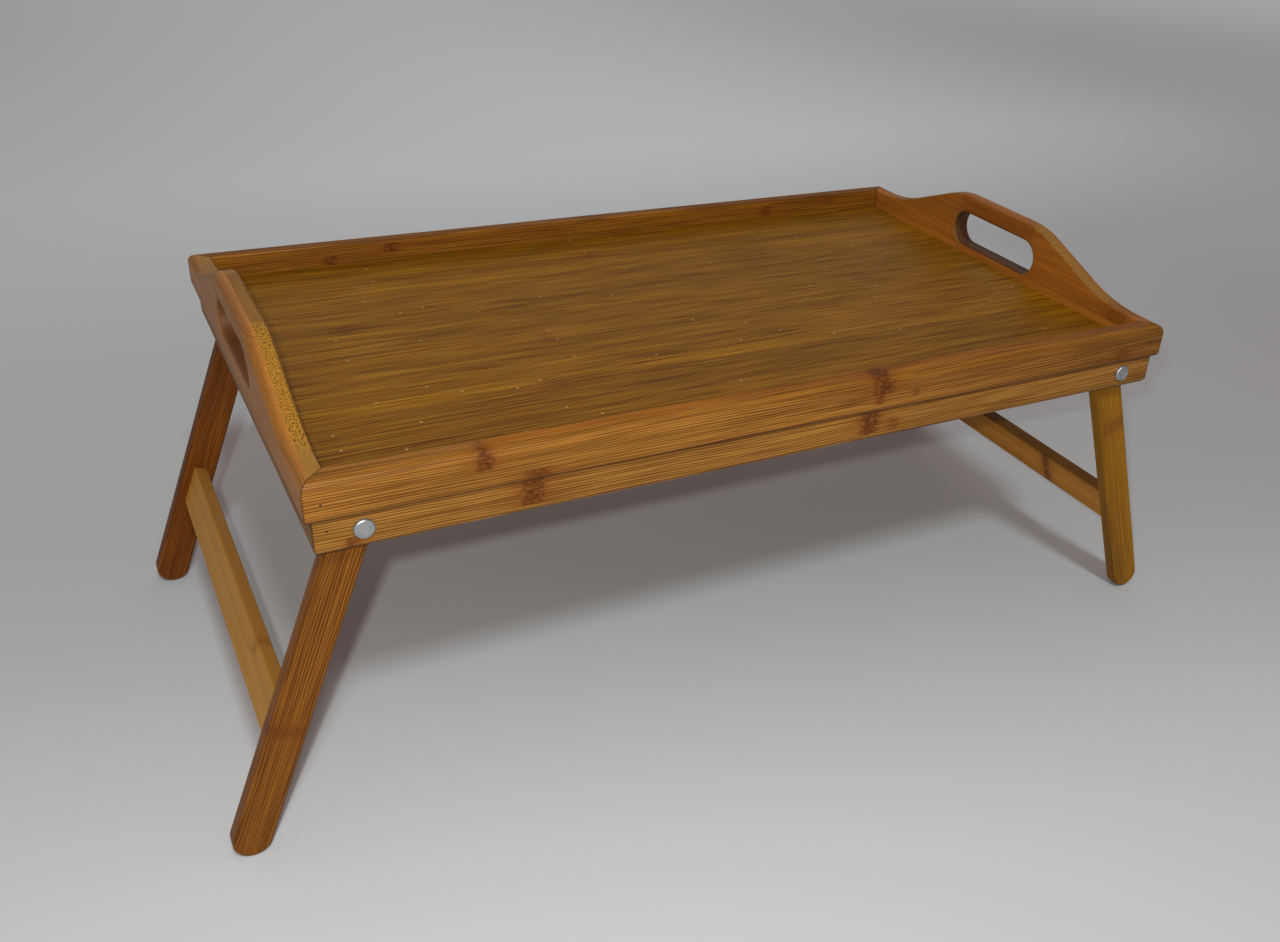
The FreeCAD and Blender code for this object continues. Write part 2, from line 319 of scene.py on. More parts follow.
def apply_modifiers(piece: Piece) -> None:
    """Makes the shape that a piece's modifiers give its own mesh, and takes them off."""
    graph = bpy.context.evaluated_depsgraph_get()
    result = bpy.data.meshes.new_from_object(
        piece.evaluated_get(graph), preserve_all_data_layers=True, depsgraph=graph)
    plain = piece.data
    name = plain.name
    piece.modifiers.clear()
    piece.data = result
    bpy.data.meshes.remove(plain)
    result.name = name


def cut(piece: Piece, cutters: list[Piece]) -> None:
    """Takes closed cutters away from a piece, and removes them."""
    for cutter in cutters:
        modifier = piece.modifiers.new("cut", "BOOLEAN")
        modifier.operation = "DIFFERENCE"
        modifier.solver = "EXACT"
        modifier.object = cutter
    apply_modifiers(piece)
    for cutter in cutters:
        mesh = cutter.data
        bpy.data.objects.remove(cutter)
        bpy.data.meshes.remove(mesh)


def turn_to(piece: Piece, side: Side) -> None:
    """Turns a piece's mesh from the front to its own side of the tray."""
    piece.data.transform(Matrix.Rotation(math.radians(side.value), 4, "Z"))


def smoothed(piece: Piece) -> Piece:
    """Shades a piece smooth over its rounds and flat on its flats.

    Each point's normal is the mean of its faces' normals weighted by their area, so the small faces of
    a rounded edge bend towards the flat beside them and the flat stays flat.
    """
    piece.data.shade_smooth()
    piece.data.set_sharp_from_angle(angle=SHARP_ANGLE)
    modifier = piece.modifiers.new("shading", "WEIGHTED_NORMAL")
    modifier.mode = "FACE_AREA"
    modifier.keep_sharp = True
    apply_modifiers(piece)
    return piece


@dataclass(frozen=True)
class HandSanding:
    """How unevenly an edge was sanded: its rounds dip by up to depth millimetres along the piece."""

    depth: float = 0.22
    seed: int = 1
    lengths: tuple[float, ...] = (173.0, 71.0, 29.0)
    highest: float = 1.84

    def dips(self, along: np.ndarray) -> np.ndarray:
        """The dip at each place along the piece: a sum of sines, lifted to 0 ... depth.

        The sines have heights 1, 1/2 and 1/3, so that their sum stays below highest.
        """
        phases = np.random.default_rng(self.seed).uniform(0, 2 * math.pi, len(self.lengths))
        waves = [np.sin(2 * math.pi * along / length + phase) / (index + 1)
                 for index, (length, phase) in enumerate(zip(self.lengths, phases))]
        return self.depth * (0.5 + 0.5 * np.sum(waves, 0) / self.highest)


def swept_bar(profile: Profile, outer: float, half_length: float, mitre: bool, seam: float,
              sanding: HandSanding, stations: int = 72) -> Surface:
    """A straight bar along x: a profile carried from one end to the other.

    With s from -1 to 1 along the bar, a point of the profile at depth d and height h lies at
    x = s * (half_length - seam - d), y = d - outer, z = h, so that both ends are 45 degree mitres.
    Without mitres x = s * (half_length - seam). A rounded edge dips by the sanding along the bar.

    Args:
        profile: The bar's outline, as depth under its outer face and height.
        outer: Distance of the outer face from the tray's middle.
        half_length: Half the length of the outer face.
        mitre: Whether the ends are mitred.
        seam: How far each end keeps from its neighbour.
        sanding: The unevenness of the rounded edges.
        stations: Places along the bar where the profile is set out.

    Returns:
        The closed surface.
    """
    share = np.linspace(-1, 1, stations)
    depth, height = profile.points.T
    reach = half_length - seam - (depth if mitre else np.zeros_like(depth))
    along = share[:, None] * reach
    dip = sanding.dips(along) * profile.eased
    normal = profile.normals
    points = np.stack([along, depth - dip * normal[:, 0] - outer, height - dip * normal[:, 1]], -1)
    return Surface.tube(points, profile.eased)


def revolved(profile: list[Span], centre: Triple, closed: bool, segments: int = 48) -> Surface:
    """A shape turned about an axis along y: a profile (radius, distance along y) carried round it.

    Args:
        profile: The profile's points. Where it isn't closed, it starts and ends on the axis.
        centre: The point that the distances along y count from.
        closed: Whether the profile's last point joins its first, as in a ring.
        segments: Points round the axis.

    Returns:
        The closed surface.
    """
    radius, level = np.array(profile).T
    angle = np.linspace(0, 2 * math.pi, segments, endpoint=False)
    points = np.stack([
        centre[0] + radius[:, None] * np.cos(angle),
        centre[1] + np.broadcast_to(level[:, None], (len(radius), segments)),
        centre[2] + radius[:, None] * np.sin(angle)], -1)
    if not closed:
        return Surface.tube(points)
    surface = Surface()
    numbers = surface.add_points(points)
    surface.add_grid(np.concatenate([numbers, numbers[:1]]), closed=True)
    return surface


def drill(x: float, z: float, radius: float, start: float, finish: float) -> Piece:
    """A round cutter along y between two places."""
    profile = [(radius, 0.0), (radius, finish - start)]
    return revolved(profile, (x, start, z), closed=False, segments=32).to_object("drill")


# ---------------------------------------------------------------------------------------------
# Shader node sheets and groups


class Sheet:
    """A node tree that nodes are added to and linked in."""

    def __init__(self, tree: Tree) -> None:
        """Takes the tree."""
        self.tree = tree

    @classmethod
    def of(cls, block: bpy.types.Material | bpy.types.World) -> "Sheet":
        """The emptied node tree of a new material or world."""
        block.use_nodes = True
        block.node_tree.nodes.clear()
        return cls(block.node_tree)

    def feed(self, socket: Socket, value: object) -> None:
        """Links another socket to a socket, or sets its own value."""
        if isinstance(value, Socket):
            self.tree.links.new(value, socket)
        elif socket.type == "RGBA":
            socket.default_value = (*value, 1.0)
        else:
            socket.default_value = value

    def add(self, kind: str, inputs: dict[object, object] | None = None,
            **settings: object) -> bpy.types.Node:
        """Adds a node.

        Args:
            kind: The node's type, such as ShaderNodeMath.
            inputs: Values or sockets by the input's name or number.
            settings: The node's own settings.

        Returns:
            The node.
        """
        node = self.tree.nodes.new(kind)
        for name, value in settings.items():
            setattr(node, name, value)
        for name, value in (inputs or {}).items():
            self.feed(node.inputs[name], value)
        return node

    def math(self, operation: str, first: object, second: object = 0.0, third: object = 0.0) -> Socket:
        """A Math node's result."""
        return self.add("ShaderNodeMath", {0: first, 1: second, 2: third}, operation=operation).outputs[0]

    def product(self, *factors: object) -> Socket:
        """The product of two or more values."""
        result = factors[0]
        for factor in factors[1:]:
            result = self.math("MULTIPLY", result, factor)
        return result

    def vector(self, operation: str, first: object, second: object = (0.0, 0.0, 0.0)) -> Socket:
        """A Vector Math node's resulting vector."""
        return self.add("ShaderNodeVectorMath", {0: first, 1: second}, operation=operation).outputs[0]

    def measure(self, operation: str, first: object, second: object = (0.0, 0.0, 0.0)) -> Socket:
        """A Vector Math node's resulting value, such as a dot product or a length."""
        node = self.add("ShaderNodeVectorMath", {0: first, 1: second}, operation=operation)
        return node.outputs["Value"]

    def shrunk(self, vector: object, size: object) -> Socket:
        """A vector divided by a size."""
        node = self.add("ShaderNodeVectorMath", {0: vector}, operation="SCALE")
        self.feed(node.inputs["Scale"], self.math("DIVIDE", 1.0, size))
        return node.outputs[0]

    def split(self, vector: object) -> tuple[Socket, ...]:
        """The three parts of a vector."""
        return tuple(self.add("ShaderNodeSeparateXYZ", {0: vector}).outputs)

    def join(self, x: object, y: object, z: object) -> Socket:
        """A vector of three parts."""
        return self.add("ShaderNodeCombineXYZ", {0: x, 1: y, 2: z}).outputs[0]

    def step(self, value: object, edge: Span, start: float = 0.0, finish: float = 1.0) -> Socket:
        """A smooth step from start to finish while the value crosses the edge, from low to high."""
        low, high = edge
        node = self.add("ShaderNodeMapRange", {"Value": value, 1: low, 2: high, 3: start, 4: finish},
                        interpolation_type="SMOOTHSTEP")
        return node.outputs[0]

    def bell(self, value: object, width: object) -> Socket:
        """A bell curve: e to the minus square of value / width."""
        ratio = self.math("DIVIDE", value, width)
        return self.math("EXPONENT", self.product(ratio, ratio, -1.0))

    def noise(self, vector: object, stretch: Triple = (1.0, 1.0, 1.0), detail: float = 2.0,
              output: str = "Fac") -> Socket:
        """A noise texture's value from 0 to 1, or its colour, with its features per unit of x, y and z."""
        stretched = self.vector("MULTIPLY", vector, stretch)
        node = self.add("ShaderNodeTexNoise", {"Vector": stretched, "Scale": 1.0, "Detail": detail})
        return node.outputs[output]

    def cells(self, vector: object, scale: float, randomness: float = 1.0) -> dict[str, Socket]:
        """The outputs of a flat Voronoi pattern."""
        return self.add("ShaderNodeTexVoronoi", {"Vector": vector, "Scale": scale, "Randomness": randomness},
                        feature="F1", voronoi_dimensions="2D").outputs

    def mix(self, share: object, first: object, second: object, blend: str = "MIX") -> Socket:
        """Two colours mixed by a share from 0 to 1."""
        node = self.add("ShaderNodeMix", {0: share, 6: first, 7: second}, data_type="RGBA",
                        blend_type=blend, clamp_factor=True)
        return node.outputs[2]

    def cover(self, colour: object, mask: object, share: object, top: object) -> Socket:
        """A colour with another laid over it where the mask is 1, as thickly as the share says."""
        return self.mix(self.product(mask, share), colour, top)

    def seen(self) -> Socket:
        """1 for rays from the camera and for mirrored rays, and 0 for the light on the object."""
        rays = self.add("ShaderNodeLightPath").outputs
        return self.math("MAXIMUM", rays["Is Camera Ray"], rays["Is Glossy Ray"])

    def group(self, tree: Tree, **inputs: object) -> dict[str, Socket]:
        """Places a node group, its inputs named as words joined by underscores, and gives its outputs."""
        node = self.add("ShaderNodeGroup", node_tree=tree)
        for name, value in inputs.items():
            self.feed(node.inputs[name.replace("_", " ").title()], value)
        return node.outputs

    def shine(self, shader: bpy.types.Node, kind: str = "ShaderNodeOutputMaterial") -> None:
        """Links a shader to the tree's output."""
        self.add(kind, {"Surface": shader.outputs[0]})


class EffectGroup:
    """A shader node group in the making, with named inputs and outputs."""

    def __init__(self, name: str, inputs: dict[str, object], outputs: list[str]) -> None:
        """Makes the group's sockets.

        Args:
            name: The group's name.
            inputs: Default value of each input by name: a number, or three numbers for a vector.
            outputs: Names of the outputs, all of them values.
        """
        self.tree = bpy.data.node_groups.new(name, "ShaderNodeTree")
        for label, value in inputs.items():
            kind = "NodeSocketVector" if isinstance(value, tuple) else "NodeSocketFloat"
            socket = self.tree.interface.new_socket(name=label, in_out="INPUT", socket_type=kind)
            socket.default_value = value
        for label in outputs:
            self.tree.interface.new_socket(name=label, in_out="OUTPUT", socket_type="NodeSocketFloat")
        self.sheet = Sheet(self.tree)
        self.inputs = self.tree.nodes.new("NodeGroupInput").outputs
        self.outputs = self.tree.nodes.new("NodeGroupOutput").inputs

    def finish(self, **results: Socket) -> Tree:
        """Links the results to the outputs of the same names."""
        for name, socket in results.items():
            self.sheet.feed(self.outputs[name.title()], socket)
        return self.tree


@dataclass(frozen=True)
class FibrePattern:
    """How bamboo's fibres lie. A stretch is a noise's features per millimetre of x, y and z."""

    seed_shift: float = 37.7
    drift_stretch: Triple = (0.008, 0.03, 0.03)
    drawn_out: Triple = (0.012, 1.0, 1.0)
    bundle_flatness: float = 1.8
    bundle_scale: float = 0.75
    bundle_randomness: float = 0.7
    bundle_edge: Span = (0.22, 0.41)
    line_pitch: float = 1.4
    line_wave: float = 0.16
    line_edge: Span = (0.35, 0.66)
    sway_stretch: Triple = (0.9, 0.16, 0.16)
    sway_reach: float = 14.0
    broken_stretch: Triple = (1.8, 0.9, 0.9)
    streak_stretch: Triple = (0.6, 0.33, 0.33)
    streak_edge: Span = (0.30, 0.72)
    cloud_stretch: Triple = (0.006, 0.11, 0.11)
    cloud_edge: Span = (0.32, 0.68)

    def group(self) -> Tree:
        """Bamboo's fibres: dark bundles that run along x and show as dots where they are cut across.

        A Voronoi pattern in the plane across the grain, led off course by a slow noise, gives the
        bundles. The fine lines are the sine of 2 pi (y + z) / pitch, swayed by a slow noise, plus a
        noise drawn out along x that breaks them up. Two more such noises give streaks a few lines
        wide, and broad clouds.
        """
        effect = EffectGroup(
            "bamboo_fibres", {"Vector": (0.0, 0.0, 0.0), "Spacing": 1.0, "Drift": 1.2, "Seed": 0.0},
            ["Bundles", "Lines", "Streaks", "Clouds"])
        sheet = effect.sheet
        seed = sheet.math("MULTIPLY", effect.inputs["Seed"], self.seed_shift)
        shifted = sheet.vector("ADD", effect.inputs["Vector"], sheet.join(seed, seed, seed))
        drift = sheet.noise(shifted, self.drift_stretch, output="Color")
        drift = sheet.vector("SUBTRACT", drift, (0.5, 0.5, 0.5))
        reach = effect.inputs["Drift"]
        drift = sheet.vector("MULTIPLY", drift, sheet.join(0.0, reach, reach))
        drawn = sheet.vector("MULTIPLY", sheet.vector("ADD", shifted, drift), self.drawn_out)
        spaced = sheet.shrunk(drawn, effect.inputs["Spacing"])
        _, deep, high = sheet.split(spaced)
        across = sheet.join(deep, sheet.math("MULTIPLY", high, self.bundle_flatness), 0.0)
        cells = sheet.cells(across, self.bundle_scale, self.bundle_randomness)
        sway = sheet.noise(spaced, self.sway_stretch, detail=1.0)
        phase = sheet.math("MULTIPLY", sheet.math("ADD", deep, high), 2 * math.pi / self.line_pitch)
        wave = sheet.math("SINE", sheet.math("MULTIPLY_ADD", sway, self.sway_reach, phase))
        lines = sheet.math("MULTIPLY_ADD", wave, self.line_wave, sheet.noise(spaced, self.broken_stretch))
        return effect.finish(
            bundles=sheet.step(cells["Distance"], self.bundle_edge, 1.0, 0.0),
            lines=sheet.step(lines, self.line_edge),
            streaks=sheet.step(sheet.noise(spaced, self.streak_stretch), self.streak_edge),
            clouds=sheet.step(sheet.noise(shifted, self.cloud_stretch), self.cloud_edge))


def strip_group(wave_pace: float = 2.3, seed_shift: float = 17.0, seam_edge: Span = (0.05, 0.36)) -> Tree:
    """Glued strips side by side: a tone for each strip, and the thin glue line between two.

    The strip's number is the whole part of (across - start) / width, led off by a sine, times uneven,
    so that widths differ.

    Args:
        wave_pace: Radians of that sine to a strip.
        seed_shift: How far one seed's tones are from the next one's.
        seam_edge: Distances from the glue line between which its colour fades, in millimetres.

    Returns:
        The group.
    """
    effect = EffectGroup(
        "glued_strips", {"Across": 0.0, "Width": 15.0, "Start": 0.0, "Uneven": 0.2, "Seed": 0.0},
        ["Tone", "Seam"])
    sheet = effect.sheet
    from_start = sheet.math("SUBTRACT", effect.inputs["Across"], effect.inputs["Start"])
    ratio = sheet.math("DIVIDE", from_start, effect.inputs["Width"])
    wave = sheet.math("SINE", sheet.math("MULTIPLY_ADD", ratio, wave_pace, effect.inputs["Seed"]))
    ratio = sheet.math("MULTIPLY_ADD", wave, effect.inputs["Uneven"], ratio)
    number = sheet.math("FLOOR", ratio)
    part = sheet.math("SUBTRACT", ratio, number)
    key = sheet.math("MULTIPLY_ADD", effect.inputs["Seed"], seed_shift, number)
    tone = sheet.add("ShaderNodeTexWhiteNoise", {"W": key}, noise_dimensions="1D").outputs["Value"]
    nearest = sheet.math("MINIMUM", part, sheet.math("SUBTRACT", 1.0, part))
    seam = sheet.step(sheet.product(nearest, effect.inputs["Width"]), seam_edge, 1.0, 0.0)
    return effect.finish(tone=tone, seam=seam)


@dataclass(frozen=True)
class NodePattern:
    """How a bamboo node is drawn. Reaches and widths are shares of the node's size."""

    waver_stretch: Triple = (0.1, 0.3, 0.55)
    waver_reach: float = 0.8
    dash_stretch: Triple = (0.36, 0.6, 0.95)
    ring_edge: Span = (0.43, 0.53)
    ring_least: float = 0.30
    ring_gain: float = 1.5
    outer_ring_width: float = 0.22
    outer_ring_edge: Span = (0.44, 0.56)
    outer_ring_most: float = 0.9
    streak_stretch: Triple = (0.10, 1.0, 1.3)
    streak_edge: Span = (0.34, 0.60)
    streak_least: float = 0.2
    stain_reach: float = 2.6
    strip_edge: Span = (0.90, 1.0)

    def group(self) -> Tree:
        """The mark of a bamboo node across one strip: a dark broken ring with a rusty stain round it.

        With u the distance along x from the node, bent to an arch across the strip and wavering, the
        ring is a bell curve of u and the stain a wider one. A thinner ring runs on both sides of it.
        Noise drawn out along the grain breaks them up.
        """
        effect = EffectGroup(
            "bamboo_node", {"Vector": (0.0, 0.0, 0.0), "Along": 0.0, "Middle": 0.0, "Reach": 6.0,
                            "Size": 4.0, "Arch": 0.5}, ["Ring", "Stain"])
        sheet = effect.sheet
        place = effect.inputs["Vector"]
        x, _, z = sheet.split(place)
        size = effect.inputs["Size"]
        ratio = sheet.math("DIVIDE", sheet.math("SUBTRACT", z, effect.inputs["Middle"]),
                           effect.inputs["Reach"])
        bend = sheet.product(ratio, ratio, effect.inputs["Arch"], size)
        waver = sheet.math("SUBTRACT", sheet.noise(place, self.waver_stretch), 0.5)
        waver = sheet.product(waver, sheet.product(size, self.waver_reach))
        away = sheet.math("SUBTRACT", x, effect.inputs["Along"])
        away = sheet.math("ADD", away, sheet.math("ADD", bend, waver))
        dashes = sheet.noise(place, self.dash_stretch)
        core = sheet.product(sheet.bell(away, size), sheet.step(dashes, self.ring_edge, self.ring_least))
        outer = sheet.bell(sheet.math("SUBTRACT", sheet.math("ABSOLUTE", away), size),
                           sheet.product(size, self.outer_ring_width))
        outer = sheet.product(outer, sheet.step(dashes, self.outer_ring_edge, 0.0, self.outer_ring_most))
        streaks = sheet.noise(place, self.streak_stretch, detail=3.0)
        stain = sheet.product(sheet.bell(away, sheet.product(size, self.stain_reach)),
                              sheet.step(streaks, self.streak_edge, self.streak_least))
        strip = sheet.step(sheet.math("ABSOLUTE", ratio), self.strip_edge, 1.0, 0.0)
        ring = sheet.product(sheet.math("MAXIMUM", sheet.product(core, self.ring_gain), outer), strip)
        return effect.finish(ring=sheet.math("MINIMUM", ring, 1.0), stain=sheet.product(stain, strip))


def mitre_group(patches: float = 0.5, raggedness: float = 2.0, thinnest: float = 0.2) -> Tree:
    """The dark line of a mitre, round the plane where half length - |x| = half width - |y|.

    Its width is the line's own times (thinnest + raggedness times a noise).
    """
    effect = EffectGroup(
        "mitre_line", {"Vector": (0.0, 0.0, 0.0), "Half Length": 250.0, "Half Width": 150.0, "Line": 0.3},
        ["Mask"])
    sheet = effect.sheet
    x, y, _ = sheet.split(effect.inputs["Vector"])
    from_end = sheet.math("SUBTRACT", effect.inputs["Half Length"], sheet.math("ABSOLUTE", x))
    from_side = sheet.math("SUBTRACT", effect.inputs["Half Width"], sheet.math("ABSOLUTE", y))
    away = sheet.math("ABSOLUTE", sheet.math("SUBTRACT", from_end, from_side))
    ragged = sheet.noise(effect.inputs["Vector"], (patches,) * 3)
    width = sheet.product(effect.inputs["Line"], sheet.math("MULTIPLY_ADD", ragged, raggedness, thinnest))
    return effect.finish(mask=sheet.bell(away, width))


def speck_group(level_edge: Span = (0.7, 0.95)) -> Tree:
    """Crumbs and dust: a dot in a few of the cells of a Voronoi pattern, on faces that look up."""
    effect = EffectGroup(
        "dust_specks", {"Vector": (0.0, 0.0, 0.0), "Upward": 1.0, "Cell": 14.0, "Share": 0.1, "Size": 0.6},
        ["Mask"])
    sheet = effect.sheet
    cells = sheet.cells(sheet.shrunk(effect.inputs["Vector"], effect.inputs["Cell"]), 1.0)
    chosen = sheet.math("LESS_THAN", sheet.split(cells["Color"])[0], effect.inputs["Share"])
    away = sheet.product(cells["Distance"], effect.inputs["Cell"])
    dot = sheet.bell(away, effect.inputs["Size"])
    return effect.finish(mask=sheet.product(dot, chosen, sheet.step(effect.inputs["Upward"], level_edge)))


def hollow_group(face_edge: Span = (0.05, 0.9)) -> Tree:
    """The inside of a slot right through a board: 1 within a box round x = 0, and 0 on both faces."""
    effect = EffectGroup(
        "slot_inside", {"Vector": (0.0, 0.0, 0.0), "Half Length": 43.2, "Low": 11.2, "High": 37.4,
                        "Thickness": 12.0}, ["Mask"])
    sheet = effect.sheet
    x, y, z = sheet.split(effect.inputs["Vector"])
    inside = sheet.product(
        sheet.math("LESS_THAN", sheet.math("ABSOLUTE", x), effect.inputs["Half Length"]),
        sheet.math("GREATER_THAN", z, effect.inputs["Low"]),
        sheet.math("LESS_THAN", z, effect.inputs["High"]))
    from_face = sheet.math("MINIMUM", y, sheet.math("SUBTRACT", effect.inputs["Thickness"], y))
    return effect.finish(mask=sheet.product(inside, sheet.step(from_face, face_edge)))


@dataclass(frozen=True)
class Effects:
    """The node groups that the finishes share."""

    fibres: Tree = field(default_factory=FibrePattern().group)
    strips: Tree = field(default_factory=strip_group)
    node: Tree = field(default_factory=NodePattern().group)
    mitre: Tree = field(default_factory=mitre_group)
    specks: Tree = field(default_factory=speck_group)
    hollow: Tree = field(default_factory=hollow_group)


@dataclass(frozen=True)
class Grain:
    """A piece's own axes: x along its grain, y inwards from its outer face, z across."""

    along: Triple
    inwards: Triple
    origin: Triple = (0.0, 0.0, 0.0)

    def coordinates(self, sheet: Sheet) -> Socket:
        """The Object coordinates turned to the piece's axes, in millimetres."""
        along = Vector(self.along).normalized()
        inwards = Vector(self.inwards).normalized()
        turn = Matrix((along, inwards, along.cross(inwards)))
        mapping = sheet.add("ShaderNodeMapping", {
            "Vector": sheet.add("ShaderNodeTexCoord").outputs["Object"],
            "Location": tuple(-(turn @ Vector(self.origin))),
            "Rotation": tuple(turn.to_euler("XYZ")), "Scale": (METRE,) * 3})
        return mapping.outputs[0]


@dataclass(frozen=True)
class NodeMark:
    """One bamboo node: where it lies along the piece, the strip that it crosses, and its size."""

    along: float
    middle: float
    reach: float
    size: float = 4.0
    arch: float = 0.5
    strength: float = 1.0


@dataclass(frozen=True)
class BambooFinish:
    """An oiled bamboo finish. Colours are linear; lengths are in millimetres."""

    name: str
    outer: Colour
    inner: Colour
    layer_depth: float = 6.0
    layer_blend: float = 0.15
    layer_from: float = BEFORE_ALL
    layer_fade: float = 6.0
    middle: Colour | None = None
    middle_reach: float = 38.0
    middle_blend: float = 5.0
    strip_width: float = 9.0
    strip_start: float = 0.0
    strip_uneven: float = 0.2
    strip_contrast: float = 0.36
    strip_seed: float = 0.7
    seam_strength: float = 0.6
    seam_base: float = 0.35
    spacing: float = 1.0
    drift: float = 1.2
    contrast: float = 1.4
    lines: float = 0.82
    # A darkening along the piece over the span, least at its start. On the front rail it is painted shade
    # towards the right end.
    darken_along: float = 0.0
    darken_along_span: Span = (-60.0, 260.0)
    darken_along_least: float = 0.36
    clouds: float = 0.4
    # The colour laid over rounded edges is partly worn wood and partly painted shade on the rounds.
    eased: Colour = (0.45, 0.22, 0.06)
    eased_wear_and_shade_share: float = 0.2
    cut_colour: Colour = (0.50, 0.30, 0.09)
    cut_share: float = 0.0
    crosscut_edge: Span = (0.04, 0.16)
    dot_colour: Colour = (0.12, 0.050, 0.012)
    dot_share: float = 0.8
    # Painted shade inside a handle slot.
    slot_shade_colour: Colour | None = None
    slot_shade_share: float = 0.9
    # A painted shade band round one height: under the rim's overhang where rim and apron meet, and along a
    # crossbar's upper edge.
    shade_band_level: float | None = None
    shade_band_reach: float = 1.6
    shade_band_strength: float = 0.85
    shade_band_colour: Colour = (0.085, 0.030, 0.006)
    roughness: float = 0.44
    line_roughness: float = 0.12
    specular: float = 0.14
    bump_strength: float = 0.15
    bump_metres: float = 0.0003
    seed: float = 0.0
    marks: tuple[NodeMark, ...] = ()
    node_dark: Colour = (0.080, 0.021, 0.002)
    node_dark_share: float = 0.95
    node_stain: Colour = (0.185, 0.050, 0.004)
    node_stain_share: float = 0.85
    mitre_box: Span | None = None
    mitre_line: float = 0.3
    mitre_colour: Colour = (0.02, 0.008, 0.004)
    mitre_share: float = 0.85
    specks: float = 0.0
    speck_colour: Colour = (0.55, 0.42, 0.20)
    speck_share: float = 0.8
    lighter: Colour = (0.20, 0.18, 0.14)
    darker: Colour = (0.36, 0.44, 0.55)

    def streaked(self, sheet: Sheet, colour: object, amount: object, contrast: float) -> Socket:
        """A colour made lighter where the amount is 0, and darker and redder where it is 1."""
        light = tuple(1 + contrast * part for part in self.lighter)
        dark = tuple(1 - contrast * part for part in self.darker)
        return sheet.mix(1.0, colour, sheet.mix(amount, light, dark), "MULTIPLY")

    def layers(self, sheet: Sheet, parts: tuple[Socket, ...]) -> tuple[Socket, Socket]:
        """The colour of the outer and the inner layer of the wood, and where the inner one is.

        Args:
            sheet: The material's tree.
            parts: The place in the piece: along it, inwards from its outer face, and across it.

        Returns:
            The colour, and a share that is 1 in the inner layer.
        """
        along, inwards, _ = parts
        edge = (self.layer_depth - self.layer_blend, self.layer_depth + self.layer_blend)
        layer = sheet.product(sheet.step(inwards, edge),
                              sheet.step(along, (self.layer_from, self.layer_from + self.layer_fade)))
        inner = self.inner
        if self.middle:
            ends = (self.middle_reach - self.middle_blend, self.middle_reach + self.middle_blend)
            inner = sheet.mix(sheet.step(sheet.math("ABSOLUTE", along), ends), self.middle, inner)
        return sheet.mix(layer, self.outer, inner), layer

    def toned(self, sheet: Sheet, colour: object, parts: tuple[Socket, ...], tone: Socket,
              clouds: Socket) -> Socket:
        """The colour with the strips' tones, the clouds, the darkening along the piece, and the rounded
        edges' colour, which is wear and painted shade.
        """
        colour = self.streaked(sheet, colour, tone, self.strip_contrast)
        colour = self.streaked(sheet, colour, clouds, self.clouds)
        # Darker along the piece: painted shade on the front rail.
        if self.darken_along:
            darkened = sheet.step(parts[0], self.darken_along_span, self.darken_along_least)
            colour = self.streaked(sheet, colour, darkened, self.darken_along)
        # Painted shade and wear: the rounded edges take the eased colour.
        eased = sheet.add("ShaderNodeAttribute", attribute_name="eased").outputs["Fac"]
        return sheet.cover(colour, eased, self.eased_wear_and_shade_share, self.eased)

    def marked(self, sheet: Sheet, effects: Effects, colour: object, place: Socket) -> object:
        """The colour with the piece's node marks on it."""
        for mark in self.marks:
            found = sheet.group(effects.node, vector=place, along=mark.along, middle=mark.middle,
                                reach=mark.reach, size=mark.size, arch=mark.arch)
            for output, share, top in (("Stain", self.node_stain_share, self.node_stain),
                                       ("Ring", self.node_dark_share, self.node_dark)):
                colour = sheet.cover(colour, found[output], share * mark.strength, top)
        return colour

    def marked_and_shaded(self, sheet: Sheet, effects: Effects, colour: object, place: Socket) -> object:
        """The colour with painted shade inside a slot, node marks, a painted shade band, mitre lines and
        crumbs.
        """
        source = sheet.add("ShaderNodeTexCoord").outputs
        true_place = sheet.vector("MULTIPLY", source["Object"], (METRE,) * 3)
        # Painted shade: the inside of the slot darkened.
        if self.slot_shade_colour:
            inside = sheet.group(effects.hollow, vector=place)["Mask"]
            colour = sheet.cover(colour, inside, self.slot_shade_share, self.slot_shade_colour)
        colour = self.marked(sheet, effects, colour, place)
        # Painted shade: a dark band round the given height.
        if self.shade_band_level is not None:
            away = sheet.math("SUBTRACT", sheet.split(place)[2], self.shade_band_level)
            shade_band = sheet.bell(away, self.shade_band_reach)
            colour = sheet.cover(colour, shade_band, self.shade_band_strength, self.shade_band_colour)
        if self.mitre_box:
            line = sheet.group(effects.mitre, vector=true_place, half_length=self.mitre_box[0],
                               half_width=self.mitre_box[1], line=self.mitre_line)["Mask"]
            colour = sheet.cover(colour, line, self.mitre_share, self.mitre_colour)
        if self.specks:
            upward = sheet.split(source["Normal"])[2]
            dust = sheet.group(effects.specks, vector=true_place, upward=upward, share=self.specks)["Mask"]
            colour = sheet.cover(colour, dust, self.speck_share, self.speck_colour)
        return colour

